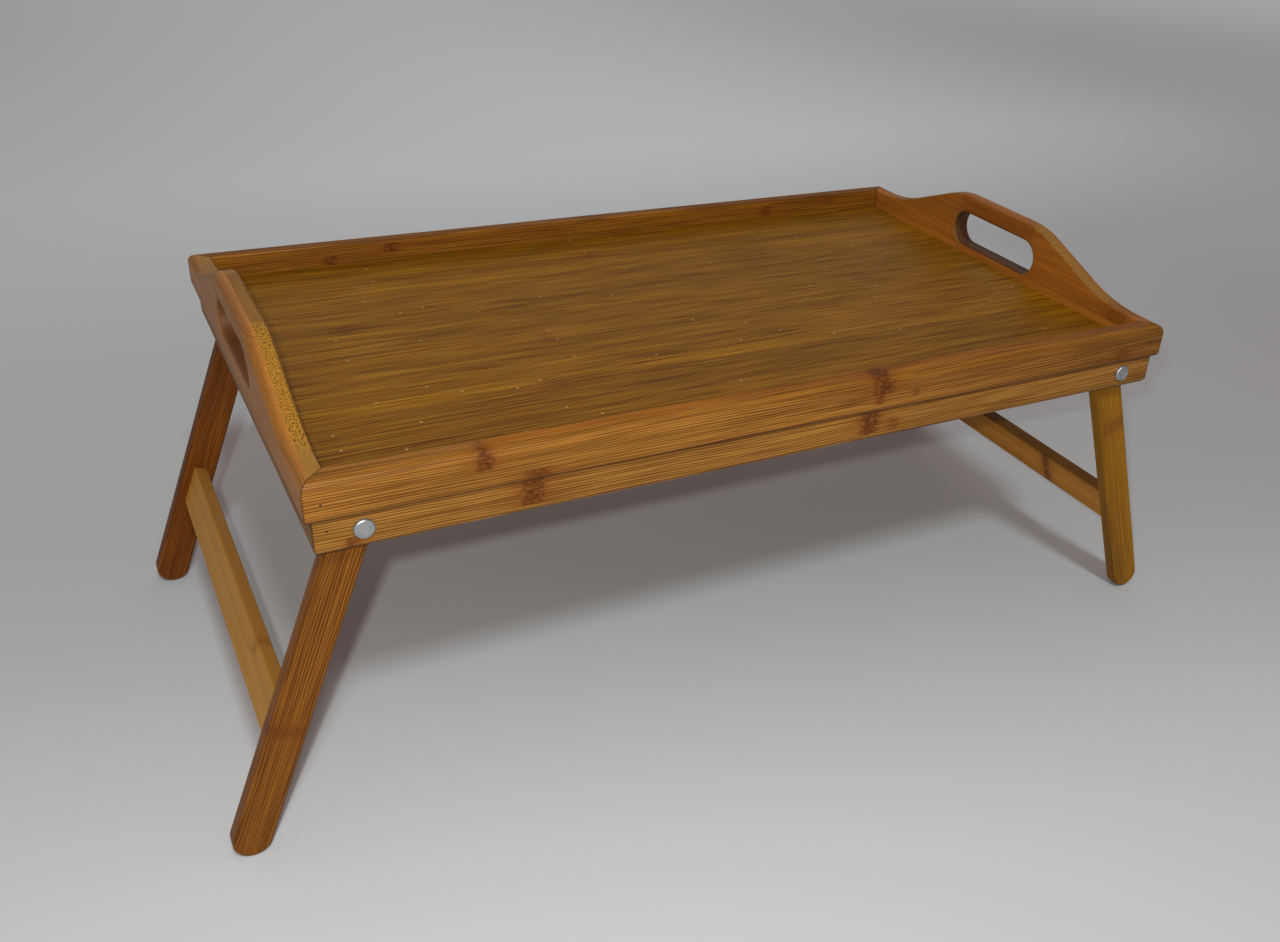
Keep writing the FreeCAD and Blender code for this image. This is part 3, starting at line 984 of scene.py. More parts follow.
    def material(self, effects: Effects, grain: Grain) -> bpy.types.Material:
        """Makes the material.

        Args:
            effects: The shared node groups.
            grain: The piece's axes.

        Returns:
            The material.
        """
        material = bpy.data.materials.new(self.name)
        sheet = Sheet.of(material)
        place = grain.coordinates(sheet)
        parts = sheet.split(place)
        fibres = sheet.group(effects.fibres, vector=place, spacing=self.spacing, drift=self.drift,
                             seed=self.seed)
        strips = sheet.group(effects.strips, across=parts[2], width=self.strip_width,
                             start=self.strip_start, uneven=self.strip_uneven,
                             seed=self.seed + self.strip_seed)
        colour, layer = self.layers(sheet, parts)
        colour = self.toned(sheet, colour, parts, strips["Tone"], fibres["Clouds"])
        streak = sheet.math("MULTIPLY_ADD", fibres["Lines"], self.lines,
                            sheet.product(fibres["Streaks"], 1.0 - self.lines))
        lengthwise = self.streaked(sheet, colour, streak, self.contrast)
        seam = sheet.math("MULTIPLY_ADD", strips["Seam"], 1.0 - self.seam_base, self.seam_base)
        lengthwise = self.streaked(sheet, lengthwise, seam, self.seam_strength)
        crosswise = sheet.cover(colour, layer, self.cut_share, self.cut_colour)
        crosswise = sheet.cover(crosswise, fibres["Bundles"], self.dot_share, self.dot_colour)
        normal = sheet.add("ShaderNodeTexCoord").outputs["Normal"]
        facing = sheet.measure("DOT_PRODUCT", normal, tuple(Vector(grain.along).normalized()))
        crosscut = sheet.step(sheet.math("ABSOLUTE", facing), self.crosscut_edge)
        if self.cut_share:
            crosscut = sheet.product(crosscut, layer)
        colour = self.marked_and_shaded(sheet, effects, sheet.mix(crosscut, lengthwise, crosswise), place)
        bump = sheet.add("ShaderNodeBump", {
            "Height": sheet.math("SUBTRACT", 1.0, streak), "Strength": self.bump_strength,
            "Distance": self.bump_metres})
        rough = sheet.math("MULTIPLY_ADD", fibres["Lines"], self.line_roughness, self.roughness)
        sheet.shine(sheet.add("ShaderNodeBsdfPrincipled", {
            "Base Color": colour, "Roughness": rough, "Specular IOR Level": self.specular,
            "Normal": bump.outputs[0]}))
        return material


@dataclass(frozen=True)
class MetalFinish:
    """A bare metal finish with fine scratches and a dull bloom. Stretches are features per metre."""

    name: str
    colour: Colour
    shadow: Colour
    roughness: float = 0.32
    patch_stretch: Triple = (300.0, 300.0, 300.0)
    patch_edge: Span = (0.40, 0.70)
    scratch_stretch: Triple = (9000.0, 2000.0, 1200.0)
    scratch_roughness: float = 0.2
    bump_strength: float = 0.15
    bump_metres: float = 0.00005
    metallic: float = 0.9

    def material(self) -> bpy.types.Material:
        """Makes the material: noise in small patches dulls the metal and darkens it a little."""
        material = bpy.data.materials.new(self.name)
        sheet = Sheet.of(material)
        place = sheet.add("ShaderNodeTexCoord").outputs["Object"]
        patches = sheet.noise(place, self.patch_stretch)
        scratches = sheet.noise(place, self.scratch_stretch)
        colour = sheet.mix(sheet.step(patches, self.patch_edge), self.colour, self.shadow)
        bump = sheet.add("ShaderNodeBump", {
            "Height": scratches, "Strength": self.bump_strength, "Distance": self.bump_metres})
        rough = sheet.math("MULTIPLY_ADD", scratches, self.scratch_roughness, self.roughness)
        sheet.shine(sheet.add("ShaderNodeBsdfPrincipled", {
            "Base Color": colour, "Roughness": rough, "Metallic": self.metallic,
            "Normal": bump.outputs[0]}))
        return material


def dress(piece: Piece, material: bpy.types.Material) -> None:
    """Gives a piece one material."""
    piece.data.materials.clear()
    piece.data.materials.append(material)


def settle(piece: Piece, material: bpy.types.Material, body: str, node: str) -> None:
    """Dresses a piece and puts it in place of a node of the frame.

    Args:
        piece: The finished piece.
        material: Its material.
        body: The body that it rides on.
        node: The node that it stands for.
    """
    dress(piece, material)
    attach(piece, body)
    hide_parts(node)
    log.info("%s: %d faces on %s", piece.name, len(piece.data.polygons), body)


def dress_node(node: str, material: bpy.types.Material) -> None:
    """Gives every material slot of a node of the frame one material."""
    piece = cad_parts[node]
    if not piece.material_slots:
        piece.data.materials.append(material)
    for place in piece.material_slots:
        place.material = material
    log.info("%s: dressed", node)


# ---------------------------------------------------------------------------------------------
# The tray's sub-assemblies


@dataclass(frozen=True)
class BradHoles:
    """The two shallow holes over the brads in a piece's outer face, on the front side."""

    inset: float
    lift: float
    radius: float = 0.6
    recess: float = 1.2

    def cutters(self, half_length: float, outer: float, low: float) -> list[Piece]:
        """The cutters for a piece of this half length, outer face and bottom edge."""
        return [drill(sign * (half_length - self.inset), low + self.lift, self.radius,
                      -outer - THROUGH, -outer + self.recess) for sign in (-1, 1)]


@dataclass
class RimFrame:
    """Two rails, two handle boards, the panel in their groove, and the brads across the mitres."""

    sizes: TraySizes
    top_round: float = 5.0
    bottom_round: float = 3.0
    inner_ease: float = 1.0
    low_ease: float = 0.4
    seam: float = 0.08
    crest_flat: float = 60.0
    crest_radius: float = 60.0
    cove_radius: float = 115.0
    ramp_angle: float = math.radians(21.5)
    slot_length: float = 82.0
    slot_height: float = 22.0
    slot_lift: float = 13.3
    slot_round: float = 2.0
    mitre_length: float = 18.0
    panel_sag: float = 0.15
    panel_waves: Span = (7.0, 4.0)
    brads: BradHoles = BradHoles(inset=7.5, lift=9.2)

    def rail_profile(self) -> Profile:
        """The rail's outline: rounded outside, eased inside, with the groove for the panel."""
        s = self.sizes
        bottom_of_groove = s.rim_thickness - s.groove_depth
        return rounded_profile([
            (0.0, s.rim_low, self.bottom_round), (0.0, s.rim_top, self.top_round),
            (s.rim_thickness, s.rim_top, self.inner_ease), (s.rim_thickness, s.tongue_top, 0.0),
            (bottom_of_groove, s.tongue_top, 0.0), (bottom_of_groove, s.panel_low, 0.0),
            (s.rim_thickness, s.panel_low, 0.0), (s.rim_thickness, s.rim_low, self.low_ease)])

    def crest(self, along: np.ndarray) -> tuple[np.ndarray, np.ndarray]:
        """Height and slope of the handle board's top edge.

        From the middle outwards: level, an arc of crest_radius, a straight ramp, an arc of cove_radius
        the other way, and level again at the height of the rim.

        Args:
            along: Distances from the board's middle.

        Returns:
            The heights, and the slopes away from the middle.
        """
        s = self.sizes
        away = np.abs(along)
        bend = self.crest_radius * math.sin(self.ramp_angle)
        fall = (self.crest_radius + self.cove_radius) * (1 - math.cos(self.ramp_angle))
        ramp = (s.crest_top - s.rim_top - fall) / math.tan(self.ramp_angle)
        arc_end = self.crest_flat / 2 + bend
        ramp_end = arc_end + ramp
        cove_end = ramp_end + self.cove_radius * math.sin(self.ramp_angle)
        into_arc = np.clip(away - self.crest_flat / 2, 0, bend)
        arc_height = np.sqrt(self.crest_radius ** 2 - into_arc ** 2)
        on_ramp = np.clip(away - arc_end, 0, ramp)
        to_cove_end = np.clip(cove_end - away, 0, cove_end - ramp_end)
        cove_height = np.sqrt(self.cove_radius ** 2 - to_cove_end ** 2)
        height = np.where(
            away < ramp_end,
            s.crest_top - self.crest_radius + arc_height - on_ramp * math.tan(self.ramp_angle),
            s.rim_top + self.cove_radius - cove_height)
        slope = np.where(away < arc_end, -into_arc / arc_height,
                         np.where(away < ramp_end, -math.tan(self.ramp_angle), -to_cove_end / cove_height))
        return height, slope * np.sign(along)

    def board_surface(self, sanding: HandSanding, stations: int = 161) -> Surface:
        """A handle board: the rail's outline with its top following the crest.

        At a place u along the board the lower part of the outline keeps its height, and the upper part
        is measured inwards from the crest along the crest's own normal. Near the ends y = |u| less the
        depth times a share that grows from 0 to 1, which cuts the mitres.

        Args:
            sanding: The unevenness of the rounded edges.
            stations: Places along the board where the outline is set out.

        Returns:
            The closed surface.
        """
        s = self.sizes
        profile = self.rail_profile()
        depth, height = profile.points.T
        along = np.linspace(-s.half_width, s.half_width, stations)[:, None]
        crest, slope = self.crest(along)
        length = np.sqrt(1 + slope ** 2)
        upper = height > s.rim_top - self.top_round - SAME
        dip = sanding.dips(along) * profile.eased
        inset = (s.rim_top - height) + dip * profile.normals[:, 1]
        shift = np.where(upper, inset * slope / length, 0.0)
        level = np.where(upper, crest - inset / length, height - dip * profile.normals[:, 1])
        share = np.clip(1 - (s.half_width - np.abs(along)) / self.mitre_length, 0, 1)
        reach = along - np.sign(along) * share * (depth + self.seam) + shift
        points = np.stack([reach, depth - dip * profile.normals[:, 0] - s.half_length, level], -1)
        return Surface.tube(points, profile.eased)

    def slot_cutter(self, segments: int = 24) -> Piece:
        """The handle slot as a spool: a stadium that flares at both faces by the round of its edge.

        At depth d under a face the stadium grows by round - sqrt(round^2 - (round - d)^2).
        """
        s = self.sizes
        turn = np.linspace(0, math.pi / 2, 8)
        flare = self.slot_round * (1 - np.sin(turn))
        sunk = self.slot_round * (1 - np.cos(turn))
        depth = np.concatenate([[-THROUGH], sunk, s.rim_thickness - sunk[::-1],
                                [s.rim_thickness + THROUGH]])
        growth = np.concatenate([[self.slot_round], flare, flare[::-1], [self.slot_round]])
        radius = self.slot_height / 2
        end = self.slot_length / 2 - radius
        angle = np.linspace(-math.pi / 2, math.pi / 2, segments)
        unit = np.concatenate([np.column_stack([np.cos(angle), np.sin(angle), np.ones(segments)]),
                               np.column_stack([-np.cos(angle), -np.sin(angle), -np.ones(segments)])])
        wide = (radius + growth)[:, None]
        across = wide * unit[:, 0] + end * unit[:, 2]
        level = np.broadcast_to(depth[:, None] - s.half_length, across.shape)
        points = np.stack([across, level, wide * unit[:, 1] + s.rim_low + self.slot_lift + radius], -1)
        return Surface.tube(points).to_object("slot")

    def rail(self, name: str, side: Side, seed: int) -> Piece:
        """A rim rail at its side of the tray."""
        s = self.sizes
        surface = swept_bar(self.rail_profile(), s.half_width, s.half_length, True, self.seam,
                            HandSanding(seed=seed))
        piece = surface.to_object(name)
        cut(piece, self.brads.cutters(s.half_length, s.half_width, s.rim_low))
        turn_to(piece, side)
        return smoothed(piece)

    def board(self, name: str, side: Side, seed: int) -> Piece:
        """A handle board at its end of the tray."""
        piece = self.board_surface(HandSanding(seed=seed)).to_object(name)
        cut(piece, [self.slot_cutter()])
        turn_to(piece, side)
        return smoothed(piece)

    def panel(self, name: str, cells: tuple[int, int] = (60, 36)) -> Piece:
        """The panel: a tongue in the groove, and a field between the rails that is a little slack.

        Over the field z = top - sag * sin(pi u) * sin(pi v) * (0.5 + 0.5 sin(7 u + 4 v)), with u and v
        from 0 to 1 across it.
        """
        s = self.sizes
        u, v = np.meshgrid(np.linspace(0, 1, cells[0] + 1), np.linspace(0, 1, cells[1] + 1), indexing="ij")
        rim = np.concatenate([
            np.ravel_multi_index((np.arange(cells[0]), np.zeros(cells[0], int)), u.shape),
            np.ravel_multi_index((np.full(cells[1], cells[0]), np.arange(cells[1])), u.shape),
            np.ravel_multi_index((np.arange(cells[0], 0, -1), np.full(cells[0], cells[1])), u.shape),
            np.ravel_multi_index((np.zeros(cells[1], int), np.arange(cells[1], 0, -1)), u.shape)])

        def sheet_at(inset: float, level: np.ndarray | float) -> np.ndarray:
            """The grid of points with its edges set in from the rim's outer faces."""
            x = (2 * u - 1) * (s.half_length - inset)
            y = (2 * v - 1) * (s.half_width - inset)
            return np.stack([x, y, np.broadcast_to(level, u.shape)], -1)

        wave = 0.5 + 0.5 * np.sin(self.panel_waves[0] * u + self.panel_waves[1] * v)
        slack = self.panel_sag * np.sin(math.pi * u) * np.sin(math.pi * v) * wave
        field_inset = s.rim_thickness + s.shoulder_gap
        tongue_inset = s.rim_thickness - s.groove_depth + s.panel_edge_gap
        surface = Surface()
        top = surface.add_points(sheet_at(field_inset, s.panel_top - slack))
        bottom = surface.add_points(sheet_at(tongue_inset, s.panel_low))
        surface.add_grid(top, closed=False)
        surface.add_grid(bottom, closed=False)
        low_field = surface.add_points(sheet_at(field_inset, s.tongue_top).reshape(-1, 3)[rim])
        high_tongue = surface.add_points(sheet_at(tongue_inset, s.tongue_top).reshape(-1, 3)[rim])
        edges = np.stack([top.ravel()[rim], low_field, high_tongue, bottom.ravel()[rim]])
        surface.add_grid(edges, closed=True)
        return smoothed(surface.to_object(name))

    def build(self, finishes: "TrayFinishes") -> None:
        """Makes and places every piece of the rim."""
        rails = ("rim_rail", self.rail, finishes.rail, "rail_bamboo")
        boards = ("handle_board", self.board, finishes.board, "handle_board_bamboo")
        order = ((Side.FRONT, 3, rails), (Side.BACK, 5, rails),
                 (Side.RIGHT, 7, boards), (Side.LEFT, 9, boards))
        for side, seed, (kind, shape, finish, slot) in order:
            node = f"{side.name.lower()}_{kind}"
            settle(shape(node + "_skin", side, seed), finish(side), "tray", node)
        settle(self.panel("tray_panel_skin"), finishes.panel(), "tray", "tray_panel")
        dress_node("rim_corner_brads", finishes.brad)


@dataclass
class ApronFrame:
    """The two long aprons that carry the rivets, the two bevelled end aprons, and their brads."""

    sizes: TraySizes
    bottom_round: float = 3.5
    inner_ease: float = 1.0
    seam: float = 0.08
    brads: BradHoles = BradHoles(inset=6.2, lift=12.0)

    def long_profile(self) -> Profile:
        """The outline of a long apron."""
        s = self.sizes
        return rounded_profile([
            (0.0, s.apron_low, self.bottom_round), (0.0, s.rim_low, 0.0),
            (s.apron_thickness, s.rim_low, 0.0), (s.apron_thickness, s.apron_low, self.inner_ease)])

    def end_profile(self) -> Profile:
        """The outline of an end apron, whose inner side is cut to the slope of an open leg."""
        s = self.sizes
        stop = s.leg_radius + s.stop_gap
        inner_x = s.apron_half_length - s.apron_thickness
        sine, cosine = math.sin(s.leg_splay), math.cos(s.leg_splay)
        high = s.pivot_z + (stop - (inner_x - s.pivot_x) * cosine) / sine
        low_x = s.pivot_x + (stop + (s.pivot_z - s.apron_low) * sine) / cosine
        return rounded_profile([
            (0.0, s.apron_low, self.bottom_round), (0.0, s.rim_low, 0.0),
            (s.apron_thickness, s.rim_low, 0.0), (s.apron_thickness, high, 0.0),
            (s.apron_half_length - low_x, s.apron_low, 0.0)])

    def holes(self) -> list[Piece]:
        """The rivet holes right through and the shallow brad holes, on the front side."""
        s = self.sizes
        outer = -s.apron_half_width
        rivets = [drill(sign * s.pivot_x, s.pivot_z, s.rivet_hole_radius, outer - THROUGH,
                        outer + s.apron_thickness + THROUGH) for sign in (-1, 1)]
        return rivets + self.brads.cutters(s.apron_half_length, s.apron_half_width, s.apron_low)

    def apron(self, name: str, side: Side, seed: int) -> Piece:
        """An apron at its side of the tray."""
        s = self.sizes
        lengthwise = side in (Side.FRONT, Side.BACK)
        profile = self.long_profile() if lengthwise else self.end_profile()
        outer, half = s.apron_half_width, s.apron_half_length
        if not lengthwise:
            outer, half = half, outer
        piece = swept_bar(profile, outer, half, True, self.seam, HandSanding(seed=seed)).to_object(name)
        if lengthwise:
            cut(piece, self.holes())
        turn_to(piece, side)
        return smoothed(piece)

    def build(self, finishes: "TrayFinishes") -> None:
        """Makes and places every piece of the apron frame."""
        for seed, side in enumerate(Side, 11):
            node = side.name.lower() + "_apron"
            piece = self.apron(node + "_skin", side, seed)
            settle(piece, finishes.apron(side), "tray", node)
        dress_node("apron_corner_brads", finishes.brad)


@dataclass
class LegFrame:
    """One end's two legs and the crossbar doweled between them, on their rivets."""

    sizes: TraySizes
    end: End
    edge_round: float = 1.5
    sanding_share: float = 0.7
    bar_width: float = 25.0
    bar_thickness: float = 8.0
    bar_drop: float = 121.7
    bar_round: float = 1.2
    bar_seam: float = 0.05
    bar_sanding: float = 0.12

    @property
    def body(self) -> str:
        """The name of the body that this frame is."""
        return self.end.name.lower() + "_leg_frame"

    @property
    def down(self) -> np.ndarray:
        """The direction from the pivot to the foot."""
        splay = self.sizes.leg_splay
        return np.array([self.end.value * math.sin(splay), 0.0, -math.cos(splay)])

    @property
    def outwards(self) -> np.ndarray:
        """The direction across the leg's width, away from the tray's middle."""
        splay = self.sizes.leg_splay
        return np.array([self.end.value * math.cos(splay), 0.0, math.sin(splay)])

    @property
    def pivot(self) -> np.ndarray:
        """The middle of the pivot axis."""
        return np.array([self.end.value * self.sizes.pivot_x, 0.0, self.sizes.pivot_z])

    def leg(self, name: str, face: Face, seed: int, arc_points: int = 25, side_points: int = 20) -> Piece:
        """A leg: an outline (inset, depth) carried round a stadium from the pivot to the foot.

        A point at angle t of the stadium and inset i lies (radius - i) * (sin t, cos t) from the centre
        of the nearer round end, across and along the leg.

        Args:
            name: The object's name.
            face: The long side of the tray that the leg is on.
            seed: Seed of the sanding.
            arc_points: Points round each end of the stadium.
            side_points: Points along each of its straight sides.

        Returns:
            The leg, with its pivot hole.
        """
        s = self.sizes
        thickness = s.leg_outer_y - s.leg_inner_y
        turn = np.linspace(0, math.pi / 2, 6)
        inset = self.edge_round * (1 - np.sin(turn))
        sunk = self.edge_round * (1 - np.cos(turn))
        insets = np.concatenate([inset, inset[::-1]])
        depths = np.concatenate([sunk, thickness - sunk[::-1]])
        eased = np.concatenate([np.sin(2 * turn), np.sin(2 * turn)])
        half_turn = np.linspace(0, math.pi, arc_points)
        side_steps = np.linspace(0, 1, side_points + 2)[1:-1]
        level, straight = np.zeros(side_points), np.ones(side_points)
        cross = np.concatenate([np.cos(half_turn), -straight, -np.cos(half_turn), straight])
        ahead = np.concatenate([-np.sin(half_turn), level, np.sin(half_turn), level])
        centre = s.leg_reach * np.concatenate([
            np.zeros(arc_points), side_steps, np.ones(arc_points), side_steps[::-1]])
        dip = HandSanding(seed=seed).dips(centre + ahead * s.leg_radius)[None, :] * eased[:, None]
        radius = s.leg_radius - insets[:, None] - dip * self.sanding_share
        across = (radius * cross)[..., None] * self.outwards
        points = self.pivot + (centre + radius * ahead)[..., None] * self.down + across
        points[..., 1] = face.value * (s.leg_outer_y - depths[:, None])
        piece = Surface.tube(points, eased[:, None]).to_object(name)
        start, finish = sorted((face.value * s.leg_outer_y, face.value * s.leg_inner_y))
        cut(piece, [drill(self.pivot[0], s.pivot_z, s.leg_hole_radius, start - THROUGH, finish + THROUGH)])
        return smoothed(piece)

    def crossbar(self, name: str, seed: int) -> Piece:
        """The crossbar: a rounded oblong carried from one leg to the other."""
        s = self.sizes
        half_thick = self.bar_thickness / 2
        half_wide = self.bar_width / 2
        profile = rounded_profile([
            (sign_t * half_thick, sign_w * half_wide, self.bar_round)
            for sign_t, sign_w in ((-1, -1), (-1, 1), (1, 1), (1, -1))], steps=4)
        surface = swept_bar(profile, 0.0, s.leg_inner_y, False, self.bar_seam,
                            HandSanding(self.bar_sanding, seed), stations=40)
        middle = self.pivot + self.bar_drop * self.down
        axes = np.column_stack([[0.0, 1.0, 0.0], self.outwards, -self.down])
        piece = surface.to_object(name, turn=axes)
        piece.data.transform(Matrix.Translation(Vector(middle / METRE)))
        return smoothed(piece)

    def build(self, finishes: "TrayFinishes") -> None:
        """Makes and places every piece of this leg frame."""
        end = self.end.name.lower()
        for face in Face:
            node = f"{face.name.lower()}_{end}_leg"
            seed = 20 + 2 * self.end.value + face.value
            piece = self.leg(node + "_skin", face, seed)
            settle(piece, finishes.leg(self, face), self.body, node)
        node = end + "_crossbar"
        piece = self.crossbar(node + "_skin", 30 + self.end.value)
        settle(piece, finishes.crossbar(self), self.body, node)
        dress_node(node + "_dowels", finishes.dowel)


@dataclass
class PivotHardware:
    """The rivet at each corner, and the washers on both sides of its leg."""

    sizes: TraySizes
    head_radius: float = 4.9
    head_height: float = 1.8
    head_round: float = 1.2
    dish_radius: float = 3.1
    dish_slope: float = 0.35
    dish_depth: float = 0.18
    shank_radius: float = 3.0
    clinch_radius: float = 4.5
    clinch_height: float = 1.6
    clinch_round: float = 1.0
    bore_radius: float = 1.7
    bore_depth: float = 1.1
    bore_lip: float = 0.4
    bore_taper: float = 0.8
    washer_radius: float = 7.0
    washer_thickness: float = 1.0
    washer_ease: float = 0.15
    side_play: float = 0.1

    def rivet_profile(self) -> list[Span]:
        """The rivet from the middle of its dished head to the middle of its rolled tail."""
        s = self.sizes
        turn = np.linspace(0, math.pi / 2, 7)
        head_edge = self.head_radius - self.head_round
        head = np.column_stack([head_edge + self.head_round * np.sin(turn),
                                -self.head_height + self.head_round * (1 - np.cos(turn))])
        base = s.apron_half_width - (s.leg_inner_y - self.side_play - self.washer_thickness)
        top = base + self.clinch_height
        tail_edge = self.clinch_radius - self.clinch_round
        tail = np.column_stack([tail_edge + self.clinch_round * np.sin(turn[::-1]),
                                top - self.clinch_round * (1 - np.cos(turn[::-1]))])
        dish = -self.head_height + self.dish_depth
        return [
            (AXIS_GAP, dish), (self.dish_radius, dish),
            (self.dish_radius + self.dish_slope, -self.head_height), *map(tuple, head),
            (self.head_radius, 0.0), (self.shank_radius, 0.0), (self.shank_radius, base),
            (self.clinch_radius, base), *map(tuple, tail), (self.bore_radius + self.bore_lip, top),
            (self.bore_radius, top - self.bore_lip),
            (self.bore_radius * self.bore_taper, top - self.bore_depth), (AXIS_GAP, top - self.bore_depth)]

    def washer_profile(self) -> list[Span]:
        """The washer's section: an oblong with its corners cut off."""
        hole = self.sizes.leg_hole_radius
        rim = self.washer_radius
        ease = self.washer_ease
        thick = self.washer_thickness
        return [(hole, ease), (hole + ease, 0.0), (rim - ease, 0.0), (rim, ease), (rim, thick - ease),
                (rim - ease, thick), (hole + ease, thick), (hole, thick - ease)]

    def placed(self, profile: list[Span], closed: bool, name: str, end: End, face: Face,
               outer: float) -> Piece:
        """A turned piece at one corner, its profile counted inwards from y = outer.

        Args:
            profile: Radius and distance inwards of each point.
            closed: Whether the profile is a ring's.
            name: The object's name.
            end: The end of the tray.
            face: The long side of the tray.
            outer: Distance from the tray's middle plane that the profile counts from.

        Returns:
            The piece.
        """
        s = self.sizes
        surface = revolved(profile, (end.value * s.pivot_x, -outer, s.pivot_z), closed)
        turn = np.diag([1.0, -face.value, 1.0])
        return smoothed(surface.to_object(name, turn=turn))

    def build(self, finishes: "TrayFinishes") -> None:
        """Makes and places the rivets and washers of all four corners."""
        s = self.sizes
        rivet, washer = self.rivet_profile(), self.washer_profile()
        inner_apron = s.apron_half_width - s.apron_thickness
        inner_leg = s.leg_inner_y - self.side_play
        kinds = (("pivot_rivet", rivet, False, s.apron_half_width, finishes.rivet, "rivet_aluminium"),
                 ("spacer_washer", washer, True, inner_apron, finishes.washer, "washer_steel"),
                 ("rivet_washer", washer, True, inner_leg, finishes.washer, "washer_steel"))
        for end in End:
            for face in Face:
                for kind, profile, closed, outer, material, slot in kinds:
                    node = f"{face.name.lower()}_{end.name.lower()}_{kind}"
                    piece = self.placed(profile, closed, node + "_skin", end, face, outer)
                    settle(piece, material, "tray", node)


# ---------------------------------------------------------------------------------------------
# Finishes of the pieces


class TrayFinishes:
    """The material of every piece, each with its own grain and node marks."""

    def __init__(self, sizes: TraySizes, effects: Effects) -> None:
        """Makes the finishes that several pieces share."""
        self.sizes = sizes
        self.effects = effects
        self.rivet = MetalFinish("brushed_aluminium", (0.40, 0.41, 0.42), (0.30, 0.31, 0.32)).material()
        self.washer = MetalFinish("zinced_steel", (0.45, 0.45, 0.44), (0.28, 0.28, 0.28), 0.4).material()
        self.brad = MetalFinish("dark_brad_steel", (0.10, 0.08, 0.07), (0.05, 0.04, 0.035), 0.5).material()
        wood = (0.40, 0.22, 0.07)
        self.dowel = BambooFinish("dowel_bamboo", wood, wood).material(effects, Grain((0, 1, 0), (1, 0, 0)))

    def side_grain(self, side: Side, outer: float, low: float) -> Grain:
        """The axes of a piece on one side of the tray, from its outer face and its bottom edge."""
        turn = side.turn
        along = turn @ np.array([1.0, 0.0, 0.0])
        inwards = turn @ np.array([0.0, 1.0, 0.0])
        origin = turn @ np.array([0.0, -outer, low])
        return Grain(tuple(along), tuple(inwards), tuple(origin))

    def rail(self, side: Side) -> bpy.types.Material:
        """The finish of a rim rail."""
        s = self.sizes
        own = {
            Side.FRONT: dict(
                outer=(0.253, 0.123, 0.0225), inner=(0.275, 0.112, 0.007), eased=(0.165, 0.067, 0.002),
                # painted shade: this rail darkens towards its right end, where less light falls
                layer_from=-172.0, darken_along=0.8, marks=(
                    NodeMark(-170.0, 15.5, 5.2, 3.2, 0.3), NodeMark(47.0, 15.5, 5.6, 5.4, 0.25),
                    NodeMark(-145.0, 2.5, 4.5, 5.0, 0.2, 0.8), NodeMark(45.0, 8.0, 3.5, 2.6, 0.2, 0.7),
                    NodeMark(68.0, 8.0, 2.4, 2.0, 0.2, 0.5), NodeMark(219.0, 5.5, 4.0, 5.0, 0.2, 0.6))),
            Side.BACK: dict(
                outer=(0.21, 0.088, 0.008), inner=(0.178, 0.073, 0.006), eased=(0.19, 0.078, 0.008), marks=(
                    NodeMark(171.0, 9.5, 4.2, 3.6, 0.5), NodeMark(133.0, 15.0, 3.0, 4.5, 0.3),
                    NodeMark(-140.0, 13.0, 4.0, 4.0, 0.4, 0.8), NodeMark(-195.0, 16.0, 3.0, 4.0, 0.4, 0.5)))}
        finish = BambooFinish(
            side.name.lower() + "_rail_bamboo", **own[side], layer_depth=4.8, strip_width=10.6,
            strip_start=0.3, strip_uneven=0.0, seed=1.3 + side.value / 90, eased_wear_and_shade_share=0.5,
            # painted shade along the bottom edge, where the rim meets the apron
            shade_band_level=0.0, mitre_box=(s.half_length, s.half_width), mitre_line=0.34)
        return finish.material(self.effects, self.side_grain(side, s.half_width, s.rim_low))

    def board(self, side: Side) -> bpy.types.Material:
        """The finish of a handle board, whose inner layer shows on its top and differs in its middle."""
        s = self.sizes
        own = {
            Side.RIGHT: dict(
                outer=(0.28, 0.115, 0.018), inner=(0.35, 0.135, 0.016), middle=(0.27, 0.10, 0.013),
                cut_colour=(0.18, 0.085, 0.013), dot_colour=(0.28, 0.165, 0.035),
                # painted shade: the inside of the slot, and the rounded edges darkened
                slot_shade_colour=(0.060, 0.020, 0.004), eased=(0.24, 0.082, 0.005), eased_wear_and_shade_share=0.5,
                specular=0.18, contrast=0.8, marks=(NodeMark(-121.0, 18.0, 6.0, 8.0, 0.2, 0.45),)),
            Side.LEFT: dict(
                # painted light: the outer face's colour is raised for light that falls on it
                outer=(0.34, 0.146, 0.022), inner=(0.29, 0.158, 0.018), middle=(0.195, 0.090, 0.006),
                cut_colour=(0.340, 0.155, 0.006), dot_colour=(0.085, 0.030, 0.003),
                # painted shade: the inside of the slot, and the rounded edges darkened
                slot_shade_colour=(0.13, 0.045, 0.010), eased=(0.18, 0.068, 0.003), eased_wear_and_shade_share=0.65,
                specular=0.34, contrast=0.6)}
        finish = BambooFinish(
            side.name.lower() + "_handle_board_bamboo", **own[side], layer_depth=5.6, strip_width=16.0,
            # painted shade along the bottom edge, where the board meets the apron
            seed=4.1 + side.value / 90, cut_share=0.8, spacing=0.85, shade_band_level=0.0,
            mitre_box=(s.half_length, s.half_width), mitre_line=0.34)
        return finish.material(self.effects, self.side_grain(side, s.half_length, s.rim_low))

